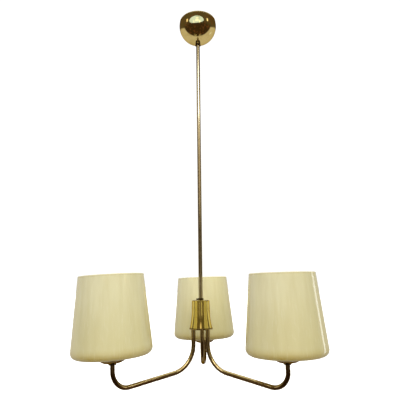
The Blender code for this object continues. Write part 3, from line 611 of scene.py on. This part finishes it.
def build_rod(materials):
    """Brass tube with chamfered ends and the window for its cable, and the cable itself."""
    low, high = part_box("rod")
    inner = ROD_RADIUS - TUBE_WALL
    chamfer = 0.3 * MM
    bands = 60
    outer = [(ROD_RADIUS, low.z + chamfer + (high.z - low.z - 2.0 * chamfer) * i / bands)
             for i in range(bands + 1)]
    outline = [(inner, low.z), (ROD_RADIUS - chamfer, low.z)] + outer
    outline += [(ROD_RADIUS - chamfer, high.z), (inner, high.z)]
    rod = bpy.data.objects.new("brass_rod", revolved("brass_rod", outline, 48))
    finish_piece(rod, materials["rod_brass"], "frame", ["rod"])
    width, height = CABLE_WINDOW
    size = (width, 2.0 * ROD_RADIUS, height)
    carve(rod, block_mesh("window", size, (0.0, ROD_RADIUS, CABLE_WINDOW_Z)))

    upper = [(0.0, 17.6 * MM, -16.0 * MM), (0.0, 9.0 * MM, -16.6 * MM), (0.0, 3.0 * MM, -19.4 * MM),
             (0.0, 0.2 * MM, -25.0 * MM), (0.0, 0.0, -34.0 * MM)]
    lower = [(0.0, 0.0, -742.0 * MM), (0.0, 0.6 * MM, -752.0 * MM), (0.0, 4.6 * MM, -757.6 * MM),
             (0.0, 11.0 * MM, -760.6 * MM), (0.0, 12.5 * MM, -765.0 * MM), (0.0, 12.5 * MM, -768.6 * MM)]
    tube("rod_cable_sheath", smooth_route(upper, 8) + smooth_route(lower, 8), ROD_CABLE_RADIUS,
         materials["cable"], "frame", ["rod_cable"])


def build_hub(materials):
    """Polished cover with a soft flare, its collar, and the disc that carries the arms."""
    low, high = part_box("hub_cover")
    wall = 1.0 * MM
    edge = 1.7 * MM
    flare_top = high.z - HUB_STRAIGHT
    steps = 36
    outside = []
    for i in range(steps + 1):
        height = low.z + (high.z - edge - low.z) * i / steps
        radius = HUB_TOP_RADIUS + 0.6 * MM * min(1.0, (high.z - height) / HUB_STRAIGHT)
        if height < flare_top:
            share = (flare_top - height) / (flare_top - low.z)
            radius += (HUB_FOOT_RADIUS - HUB_TOP_RADIUS - 0.6 * MM) * share ** 1.8
        outside.append((radius - 0.02 * MM, height))
    inside = [(radius - wall, height) for radius, height in reversed(outside)]
    shoulder = arc((HUB_TOP_RADIUS - edge, high.z - edge), edge, 10.0, 90.0, 10)
    bore = 5.6 * MM
    outline = outside + shoulder + [(bore + 0.4 * MM, high.z), (bore, high.z - 0.4 * MM)]
    outline += [(bore, high.z - wall), (HUB_TOP_RADIUS - wall - 0.8 * MM, high.z - wall)] + inside
    mesh = revolved("flared_hub", outline, 128)
    finish_piece(bpy.data.objects.new("flared_hub", mesh), materials["hub_brass"], "hub_cover_set",
                 ["hub_cover"])

    low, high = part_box("hub_collar")
    radius = 0.5 * (high.x - low.x)
    bore = ROD_BORE
    outline = [(bore, low.z + 0.2 * MM), (bore + 0.2 * MM, low.z), (radius - 0.3 * MM, low.z),
               (radius, low.z + 0.3 * MM), (radius, high.z - 1.0 * MM)]
    outline += arc((radius - 1.0 * MM, high.z - 1.0 * MM), 1.0 * MM, 10.0, 90.0, 8)
    outline += [(bore + 0.3 * MM, high.z), (bore, high.z - 0.3 * MM)]
    mesh = revolved("top_collar", outline, 72)
    finish_piece(bpy.data.objects.new("top_collar", mesh), materials["shaded_dark_brass"], "hub_cover_set",
                 ["hub_collar"])
    build_set_screw("hub_set_screw", materials["shaded_dark_brass"], "hub_cover_set", 10.4 * MM, 100.0)

    low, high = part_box("hub_base")
    radius = high.x
    round_edge = 0.9 * MM
    outline = [(0.0, low.z), (radius - round_edge, low.z)]
    outline += arc((radius - round_edge, low.z + round_edge), round_edge, -90.0, 0.0, 8)[1:]
    outline += arc((radius - round_edge, high.z - round_edge), round_edge, 0.0, 90.0, 8)
    outline += [(0.0, high.z)]
    base = bpy.data.objects.new("hub_disc", revolved("hub_disc", outline, 128))
    finish_piece(base, materials["shaded_flange_brass"], "frame", ["hub_base"])
    middle = 0.5 * (low.z + high.z)
    reach = 4.0 * MM
    centres = [Vector((0.0, 0.0, 0.0))] + [around_axis(ARM_ROOT, a + ROOT_TURN) for a in LAMPS.values()]
    for centre in centres:
        outline = [(0.0, middle - reach), (ARM_BORE, middle - reach), (ARM_BORE, middle + reach),
                   (0.0, middle + reach)]
        cutter = revolved("arm_hole", outline, 48)
        cutter.transform(Matrix.Translation(centre))
        carve(base, cutter)
    hex_nut("hub_nut_chamfered", NUT_FLATS, NUT_HEIGHT, ROD_BORE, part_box("hub_nut")[0].z, materials["steel"],
            "hub_nut")


# ---------------------------------------------------------------- arms

def around_axis(distance, direction):
    return Vector((distance * math.cos(direction), distance * math.sin(direction), 0.0))


def lamp_lean(tag):
    """The lamp's lean from its lift joint's axis, positive toward -X."""
    for joint in frame["joints"]:
        if joint["name"] == "glass_lift_" + tag:
            return math.atan2(-joint["axis"][0], joint["axis"][2])
    raise ValueError("no lift joint for " + tag)


def lamp_place(tag):
    foot = around_axis(ARM_REACH, LAMPS[tag]) + Vector((0.0, 0.0, LAMP_FOOT_Z))
    return Matrix.Translation(foot) @ Matrix.Rotation(-lamp_lean(tag), 4, "Y")


def arm_path(tag):
    """The arm's centre line, from inside the hub to inside the lamp holder."""
    start = around_axis(ARM_ROOT, LAMPS[tag] + ROOT_TURN)
    end = around_axis(ARM_REACH, LAMPS[tag])
    lean = lamp_lean(tag)
    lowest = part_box("arm_" + tag)[0].z + ROD_RADIUS
    outer_centre = (ARM_REACH - ARM_OUTER_BEND, lowest + ARM_OUTER_BEND)
    outer = arc(outer_centre, ARM_OUTER_BEND, -90.0 - ARM_FALL, 0.0, 44)
    inner_end = 270.0 - ARM_FALL
    x_end = ARM_ROOT + ARM_INNER_BEND * (1.0 + math.cos(math.radians(inner_end)))
    z_end = outer[0][1] + (outer[0][0] - x_end) * math.tan(math.radians(ARM_FALL))
    inner_centre = (ARM_ROOT + ARM_INNER_BEND, z_end - ARM_INNER_BEND * math.sin(math.radians(inner_end)))
    inner = arc(inner_centre, ARM_INNER_BEND, 180.0, inner_end, 44)
    points = []
    for reach, height in [(ARM_ROOT, ARM_TOP_Z)] + inner + outer + [(ARM_REACH, LAMP_FOOT_Z + 6.5 * MM)]:
        point = start.lerp(end, (reach - ARM_ROOT) / (ARM_REACH - ARM_ROOT))
        settle = min(1.0, max(0.0, (reach - outer_centre[0]) / ARM_OUTER_BEND))
        point.x += math.tan(lean) * (LAMP_FOOT_Z - height) * settle
        point.z = height
        points.append(point)
    return points


def build_arm(tag, materials):
    """Bent brass tube and the cable that comes out of its two ends."""
    path = arm_path(tag)
    tube(f"bent_arm_{tag}", path, ROD_RADIUS, materials["arm_brass"], "frame", ["arm_" + tag], 14)
    direction = LAMPS[tag]
    root = path[0]
    drop = Vector((0.0, 0.0, -ARM_CABLE_LEAD))
    terminal = Vector((6.9 * MM * math.cos(direction), 12.5 * MM, -781.5 * MM))
    entry = root - 2.0 * drop
    halfway = 0.5 * (terminal + 2.0 * drop + entry)
    route = [terminal, terminal + drop, terminal + 2.0 * drop, halfway, entry, root]
    tube(f"arm_cable_sheath_{tag}", smooth_route(route, 6), ARM_CABLE_RADIUS, materials["cable"], "frame",
         ["arm_cable_" + tag])


# ---------------------------------------------------------------- lamps

def shade_outline():
    """Tapered glass with a fire-rounded rim, a soft bottom roll and a nearly flat bottom."""
    taper = math.atan2(SHADE_CORNER_RADIUS - SHADE_RIM_RADIUS, SHADE_RIM_Z - SHADE_CORNER_Z)
    edge_centre = (SHADE_CORNER_RADIUS - SHADE_EDGE_ROUND * math.cos(taper),
                   SHADE_CORNER_Z - SHADE_EDGE_ROUND * math.sin(taper))
    start = math.degrees(taper)
    seat = 34.0 * MM
    dip = math.degrees(math.atan2(edge_centre[1] - SHADE_EDGE_ROUND - SHADE_BOTTOM, edge_centre[0] - seat))
    outer_edge = arc(edge_centre, SHADE_EDGE_ROUND, -90.0 + dip, start, 20)
    inner_edge = arc(edge_centre, SHADE_EDGE_ROUND - SHADE_WALL, start, -90.0 + dip, 16)
    lip = 0.5 * SHADE_WALL
    side = []
    for i in range(1, 13):
        share = i / 13
        side.append((SHADE_CORNER_RADIUS + (SHADE_RIM_RADIUS - SHADE_CORNER_RADIUS) * share,
                     SHADE_CORNER_Z + (SHADE_RIM_Z - lip - SHADE_CORNER_Z) * share))
    rim = arc((SHADE_RIM_RADIUS - lip, SHADE_RIM_Z - lip), lip, 0.0, 180.0, 14)
    inner_side = [(radius - SHADE_WALL / math.cos(taper), height) for radius, height in reversed(side)]
    floor = SHADE_BOTTOM + SHADE_WALL
    hole = arc((SHADE_HOLE + lip, SHADE_BOTTOM + lip), lip, 90.0, 270.0, 8)
    return outer_edge + side + rim + inner_side + inner_edge + [(seat, floor)] + hole + [(seat, SHADE_BOTTOM)]


def build_lamp(tag, materials):
    """Ring nut, dish, washer, glass, ring, holder and bulb on one lamp's axis."""
    place = lamp_place(tag)

    def add(name, outline, sides, material, body, cad, sharp=38.0):
        mesh = revolved(f"{name}_{tag}", outline, sides, sharp)
        return finish_piece(bpy.data.objects.new(f"{name}_{tag}", mesh), materials[material], body,
                            [c + "_" + tag for c in cad], place)

    bore = ARM_BORE
    outline = [(bore, -3.5 * MM), (bore + 0.3 * MM, -3.8 * MM)]
    outline += arc((7.3 * MM, -2.9 * MM), 0.9 * MM, -90.0, 0.0, 8)
    outline += arc((7.3 * MM, -1.2 * MM), 0.9 * MM, 0.0, 90.0, 8) + [(bore, -0.3 * MM)]
    add("round_nut", outline, 72, "shaded_dark_brass", "frame", ["ring_nut"])

    rise = DISH_RADIUS - DISH_FLAT
    bend = (rise * rise + DISH_HEIGHT * DISH_HEIGHT) / (2.0 * DISH_HEIGHT)
    sweep = math.degrees(math.asin(rise / bend))
    wall = 1.0 * MM
    outside = arc((DISH_FLAT, bend), bend, -90.0, -90.0 + sweep - 1.5, 20)
    inside = arc((DISH_FLAT, bend), bend - wall, -90.0 + sweep - 3.0, -90.0, 20)
    roll = [(DISH_RADIUS - 0.02 * MM, DISH_HEIGHT - 0.35 * MM),
            (DISH_RADIUS - 0.15 * MM, DISH_HEIGHT - 0.05 * MM), (DISH_RADIUS - 0.5 * MM, DISH_HEIGHT)]
    outline = [(bore, 0.0)] + outside + roll + inside + [(bore, wall)]
    add("brass_dish", outline, 96, "dish_brass", "frame", ["dish"])

    outline = []
    corners = ((25.9 * MM, 9.8 * MM), (25.9 * MM, 10.5 * MM), (29.3 * MM, 10.5 * MM), (29.3 * MM, 9.8 * MM))
    for i, corner in enumerate(corners):
        outline += arc(corner, 0.3 * MM, 270.0 - 90.0 * i, 180.0 - 90.0 * i, 4)
    add("rubber_washer", outline, 72, "rubber", "glass_" + tag, ["washer"])

    add("glass_shade", shade_outline(), 160, "glass", "glass_" + tag, ["shade"], 60.0)

    foot = 1.3 * MM
    outline = [(bore, foot), (13.5 * MM, foot), (16.5 * MM, 4.4 * MM), (16.6 * MM, 5.0 * MM),
               (16.6 * MM, 8.4 * MM), (19.0 * MM, 10.2 * MM)]
    outline += ridges(19.38 * MM, 10.6 * MM, 37.0 * MM, 2.4 * MM, 0.7 * MM)
    outline += [(17.8 * MM, 38.0 * MM), (17.6 * MM, 38.6 * MM), (17.6 * MM, 45.2 * MM),
                (17.1 * MM, SOCKET_TOP_Z), (14.7 * MM, SOCKET_TOP_Z), (14.25 * MM, 45.5 * MM),
                (14.25 * MM, 19.3 * MM), (0.0, 19.1 * MM), (0.0, 14.0 * MM), (3.1 * MM, 14.0 * MM),
                (3.1 * MM, 6.8 * MM), (bore, 6.8 * MM)]
    add("lamp_holder", outline, 80, "bakelite", "frame", ["socket"], 30.0)

    outline = [(13.2 * MM, 24.0 * MM), (13.85 * MM, 24.0 * MM), (13.85 * MM, 45.4 * MM),
               (13.2 * MM, 45.4 * MM)]
    add("screw_shell_thread", outline, 64, "contact_brass", "frame", ["screw_shell"])
    outline = [(0.0, 19.3 * MM), (4.8 * MM, 19.3 * MM), (4.8 * MM, 20.0 * MM), (3.2 * MM, 21.0 * MM),
               (0.0, 21.1 * MM)]
    add("centre_contact", outline, 40, "contact_brass", "frame", ["contact"])

    low = 14.4 * MM
    outline = [(19.9 * MM, low), (26.7 * MM, low), (27.0 * MM, low + 0.3 * MM), (27.0 * MM, low + 1.7 * MM),
               (26.6 * MM, low + 2.2 * MM), (24.2 * MM, low + 3.2 * MM), (23.7 * MM, low + 4.5 * MM),
               (23.2 * MM, low + 5.0 * MM), (20.2 * MM, low + 5.0 * MM), (19.9 * MM, low + 4.7 * MM)]
    add("clamp_ring", outline, 96, "bakelite", "ring_" + tag, ["shade_ring"])

    ball = (0.0, BULB_TOP_Z - BULB_RADIUS)
    neck_z = SOCKET_TOP_Z + 2.6 * MM
    shoulder_radius = BULB_RADIUS * math.cos(math.radians(BULB_SHOULDER))
    shoulder_z = ball[1] - BULB_RADIUS * math.sin(math.radians(BULB_SHOULDER))
    neck = []
    for i in range(16):
        share = i / 16
        ease = share * share * (3.0 - 2.0 * share)
        radius = BULB_NECK_RADIUS + (shoulder_radius - BULB_NECK_RADIUS) * (0.35 * share + 0.65 * ease)
        neck.append((radius, neck_z + (shoulder_z - neck_z) * share))
    outside = neck + arc(ball, BULB_RADIUS, -BULB_SHOULDER, 90.0, 32)[:-1] + [(0.0, BULB_TOP_Z)]
    inside = [(0.0, BULB_TOP_Z - BULB_WALL)]
    inside += arc(ball, BULB_RADIUS - BULB_WALL, 90.0, -BULB_SHOULDER, 32)[1:]
    inside += [(radius - BULB_WALL, height) for radius, height in reversed(neck)]
    bulb = bmesh.new()
    bulb.from_mesh(revolved("outside", outside, 96, closed=False))
    bulb.from_mesh(revolved("inside", inside, 96, closed=False))
    bmesh.ops.bridge_loops(bulb, edges=[e for e in bulb.edges if e.is_boundary])
    mesh = smooth_mesh(bulb, f"opal_bulb_{tag}", 60.0)
    finish_piece(bpy.data.objects.new(f"opal_bulb_{tag}", mesh), materials["bulb"], "lamp_bulb_" + tag,
                 ["bulb_" + tag], place)

    tip = BULB_TIP_Z
    outline = [(0.0, tip), (3.6 * MM, tip), (4.4 * MM, tip + 0.5 * MM), (4.6 * MM, tip + 1.4 * MM),
               (10.4 * MM, tip + 4.0 * MM), (12.2 * MM, tip + 5.0 * MM)]
    outline += ridges(12.88 * MM, tip + 5.6 * MM, neck_z - 2.4 * MM, 3.6 * MM, 0.9 * MM, 8)
    outline += [(12.6 * MM, neck_z - 1.8 * MM), (12.88 * MM, neck_z - 0.9 * MM),
                (12.7 * MM, neck_z - 0.3 * MM), (0.0, neck_z - 0.3 * MM)]
    add("threaded_cap", outline, 72, "cap", "lamp_bulb_" + tag, ["bulb_cap"], 50.0)


# ---------------------------------------------------------------- stage, light and camera

def build_floor():
    """Wide pale floor, lit on its own so that it stays as light as the backdrop."""
    bm = bmesh.new()
    bmesh.ops.create_grid(bm, x_segments=8, y_segments=8, size=120.0)
    floor = bpy.data.objects.new("studio_floor", smooth_mesh(bm, "studio_floor"))
    bpy.context.scene.collection.objects.link(floor)
    floor.location = (0.0, 0.0, CAD_BOX[0].z - 1.0)
    material, nodes, shader, place = new_material("pale_floor")
    grain = nodes.noise(place, 3.0, 3.0)
    nodes.put(shader.inputs["Base Color"], nodes.mix(grain, rgb(0.90, 0.90, 0.90), rgb(0.93, 0.93, 0.93)))
    shader.inputs["Roughness"].default_value = 0.9
    shader.inputs["Specular IOR Level"].default_value = 0.1
    floor.data.materials.append(material)
    floor.visible_glossy = False
    floor.visible_diffuse = False

    sun_data = bpy.data.lights.new("floor_light", "SUN")
    sun_data.energy = 4.2
    sun_data.angle = math.radians(40.0)
    sun = bpy.data.objects.new("floor_light", sun_data)
    bpy.context.scene.collection.objects.link(sun)
    receivers = bpy.data.collections.new("floor_only")
    receivers.objects.link(floor)
    sun.light_linking.receiver_collection = receivers


# soft panels that the brass mirrors: azimuth (0 toward -Y, positive toward +X), elevation, half
# width and half height as tangents, colour, strength and softness of the edge
PANELS = (
    (0.0, -1.0, 0.44, 0.16, (1.0, 0.84, 0.60), 0.20, 0.03),
    (0.0, 17.0, 0.13, 0.06, (1.0, 0.80, 0.60), 0.9, 0.05),
    (-21.0, -3.0, 0.03, 0.14, (1.0, 0.90, 0.62), 0.74, 0.02),
    (15.0, -3.0, 0.045, 0.14, (1.0, 0.90, 0.62), 0.90, 0.02),
    (-62.0, 19.0, 0.07, 0.12, (1.0, 0.90, 0.72), 1.6, 0.03),
    (62.0, 19.0, 0.07, 0.12, (1.0, 0.90, 0.72), 1.7, 0.03),
    (116.0, -14.0, 0.07, 0.12, (0.90, 0.97, 1.10), 1.0, 0.04),
)


def direction_vector(azimuth, elevation):
    a = math.radians(azimuth)
    e = math.radians(elevation)
    return Vector((math.sin(a) * math.cos(e), -math.cos(a) * math.cos(e), math.sin(e)))


def build_world():
    """White backdrop for camera rays; soft light for diffuse rays, yellower from the right and darker
    from below; and for mirrored rays a dim warm studio with soft panels, a pale far side and a pale
    patch overhead.  Its directions were picked for the view from the front: lift is square to the
    line from the camera to the canopy.  They are fixed, and don't follow the camera.
    """
    world = bpy.data.worlds.new("studio_room")
    bpy.context.scene.world = world
    world.use_nodes = True
    tree = world.node_tree
    tree.nodes.clear()
    nodes = Nodes(tree)
    look = nodes.add("ShaderNodeTexCoord").outputs["Generated"]

    def along(axis):
        node = nodes.add("ShaderNodeVectorMath", {"operation": "DOT_PRODUCT"})
        nodes.put(node.inputs[0], look)
        nodes.put(node.inputs[1], tuple(axis))
        return node.outputs["Value"]

    up = along((0.0, 0.0, 1.0))
    front = along((0.0, 1.0, 0.0))
    walls = nodes.mix(nodes.ramp(up, -0.30, 0.30), rgb(0.050, 0.030, 0.013), rgb(0.115, 0.095, 0.05))
    patches = nodes.ramp(nodes.noise(look, 5.0, 3.0), 0.52, 0.66, 0.0, 0.8)
    colour = nodes.mix(patches, walls, rgb(0.17, 0.07, 0.03))
    lift = along((0.0, -0.566, 0.824))
    beyond = nodes.math("MULTIPLY", nodes.ramp(front, -0.06, 0.10), nodes.ramp(lift, 0.0, -0.10))
    colour = nodes.mix(beyond, colour, rgb(0.67, 0.65, 0.60))
    overhead = along((0.0, 0.196, 0.981))
    colour = nodes.mix(nodes.ramp(overhead, 0.80, 0.84), colour, rgb(0.85, 0.84, 0.74))
    for azimuth, elevation, wide, tall, tint, strength, soft in PANELS:
        aim = direction_vector(azimuth, elevation)
        side = aim.cross(Vector((0.0, 0.0, 1.0))).normalized()
        top = side.cross(aim).normalized()
        ahead = along(aim)
        across = nodes.math("ABSOLUTE", nodes.math("DIVIDE", along(side), ahead))
        upward = nodes.math("ABSOLUTE", nodes.math("DIVIDE", along(top), ahead))
        mask = nodes.math("MULTIPLY", nodes.ramp(across, wide + soft, wide - soft),
                          nodes.ramp(upward, tall + soft, tall - soft))
        mask = nodes.math("MULTIPLY", mask, nodes.math("GREATER_THAN", ahead, 0.0))
        colour = nodes.mix(mask, colour, rgb(*(strength * c for c in tint)))

    rays = nodes.add("ShaderNodeLightPath")
    even = nodes.mix(nodes.ramp(along((1.0, 0.0, 0.0)), -0.7, 0.7), rgb(0.77, 0.765, 0.75),
                     rgb(0.80, 0.78, 0.63))
    even = nodes.mix(nodes.ramp(up, 0.1, -0.7, 0.0, 0.6), even, rgb(0.14, 0.13, 0.11))
    colour = nodes.mix(rays.outputs["Is Diffuse Ray"], colour, even)
    room = nodes.add("ShaderNodeBackground", None, Color=colour, Strength=1.0)
    backdrop = nodes.add("ShaderNodeBackground", None, Color=rgb(1.0, 1.0, 1.0), Strength=1.1)
    switch = nodes.add("ShaderNodeMixShader")
    nodes.put(switch.inputs[0], rays.outputs["Is Camera Ray"])
    nodes.put(switch.inputs[1], room.outputs[0])
    nodes.put(switch.inputs[2], backdrop.outputs[0])
    output = nodes.add("ShaderNodeOutputWorld")
    tree.links.new(switch.outputs[0], output.inputs["Surface"])


def build_light(name, position, target, size, power, colour, mirrored=False, receivers=()):
    """Soft panel; it lights what is around it, or else is only mirrored in polished surfaces.  With
    receivers, it acts on those pieces alone.
    """
    data = bpy.data.lights.new(name, "AREA")
    data.shape = "ELLIPSE" if mirrored else "RECTANGLE"
    data.size = size[0]
    data.size_y = size[1]
    data.energy = power
    data.color = colour
    light = bpy.data.objects.new(name, data)
    bpy.context.scene.collection.objects.link(light)
    light.location = position
    light.rotation_euler = (Vector(target) - Vector(position)).to_track_quat("-Z", "Y").to_euler()
    light.visible_camera = False
    light.visible_glossy = mirrored
    light.visible_diffuse = not mirrored
    if receivers:
        lit = bpy.data.collections.new(name + "_receivers")
        for obj in receivers:
            lit.objects.link(obj)
        light.light_linking.receiver_collection = lit


def mirror_panel(name, position, size, radiance, colour, receivers):
    """Panel facing +Y that only shows in the receivers' reflections, its brightness per area given."""
    target = (position[0], position[1] + 1.0, position[2])
    lit = [bpy.data.objects[receiver] for receiver in receivers]
    build_light(name, position, target, size, radiance * math.pi * size[0] * size[1], colour, True, lit)


def build_lights():
    middle = (0.0, 0.0, -0.78)
    left_white = (0.95, 0.96, 0.97)
    right_cream = (1.0, 0.97, 0.80)
    build_light("key_panel", (-1.0, -3.8, 0.7), middle, (2.6, 2.6), 40.0, left_white)
    build_light("fill_panel", (1.1, -3.8, 0.6), middle, (2.6, 2.6), 38.0, right_cream)
    build_light("left_panel", (-2.6, -2.8, 0.1), middle, (2.0, 2.0), 12.0, left_white)
    build_light("right_panel", (2.6, -2.8, 0.1), middle, (2.0, 2.0), 12.0, right_cream)
    build_light("rim_panel", (0.0, 2.4, 0.5), middle, (2.4, 1.6), 27.0, (1.0, 0.98, 0.95))
    build_light("top_panel", (0.0, 0.0, 1.4), middle, (1.6, 1.6), 8.0, (1.0, 0.98, 0.95))
    mirror_panel("wide_mirror_panel", (-0.2, -1.25, 0.265), (2.3, 1.03), 1.3, (0.46, 0.66, 1.0),
                 ["ball_canopy"])
    mirror_panel("warm_mirror_panel", (-0.05, -1.2, 0.08), (0.42, 0.14), 1.1, (1.0, 0.62, 0.40),
                 ["ball_canopy"])
    mirror_panel("arm_panel", (0.0, -1.25, 0.45), (2.4, 0.7), 2.6, (1.0, 0.97, 0.88),
                 ["bent_arm_" + tag for tag in LAMPS])
    mirror_panel("rod_white_panel", (0.1, -1.25, 0.49), (1.7, 0.40), 1.85, (0.88, 0.95, 1.05), ["brass_rod"])
    mirror_panel("rod_tan_panel", (0.3, -1.30, 0.35), (2.2, 1.40), 0.5, (1.0, 0.86, 0.62), ["brass_rod"])
    glass = {tag: [bpy.data.objects["glass_shade_" + tag]] for tag in LAMPS}
    build_light("streak_panel", (2.05, 0.61, -0.72), (0.18, -0.11, -0.76), (0.32, 1.8), 4.2,
                (0.92, 1.0, 1.15), True, glass["right"])
    build_light("back_glass_panel", (0.15, -2.6, 0.5), (0.0, 0.2, -0.78), (1.4, 1.4), 33.0, (1.0, 0.96, 0.70),
                False, glass["back"])
    build_light("left_glass_panel", (1.6, -1.2, -0.6), (-0.2, -0.1, -0.78), (0.8, 0.8), 7.5,
                (0.94, 0.97, 1.0), False, glass["left"])
    build_light("right_glass_panel", (-0.7, -2.0, -0.4), (0.2, -0.1, -0.78), (0.8, 0.8), 3.5,
                (1.0, 0.88, 0.60), False, glass["right"])


def build_camera():
    """Camera just above the hub's height, about a metre in front, tilted up at the lamp."""
    data = bpy.data.cameras.new("camera")
    data.sensor_width = 36.0
    data.lens = 36.16
    data.clip_start = 0.01
    data.clip_end = 1000.0
    camera = bpy.data.objects.new("camera", data)
    bpy.context.scene.collection.objects.link(camera)
    turn = Matrix.Rotation(math.radians(2.52), 4, "Z")
    tilt = Matrix.Rotation(math.radians(90.0 + 12.3), 4, "X")
    roll = Matrix.Rotation(math.radians(-0.64), 4, "Z")
    camera.matrix_world = Matrix.Translation((0.0448, -0.9963, -0.706)) @ turn @ tilt @ roll
    bpy.context.scene.camera = camera


def main():
    build_camera()
    materials = make_materials()
    build_canopy(materials)
    build_suspension(materials)
    build_terminal_block("ceiling_terminal_block", 4.5 * MM, materials)
    build_rod(materials)
    build_hub(materials)
    build_terminal_block("hub_terminal_block", 6.0 * MM, materials)
    for tag in LAMPS:
        build_arm(tag, materials)
        build_lamp(tag, materials)
    build_floor()
    build_world()
    build_lights()
    view = bpy.context.scene.view_settings
    view.view_transform = "Standard"
    view.look = "None"


main()
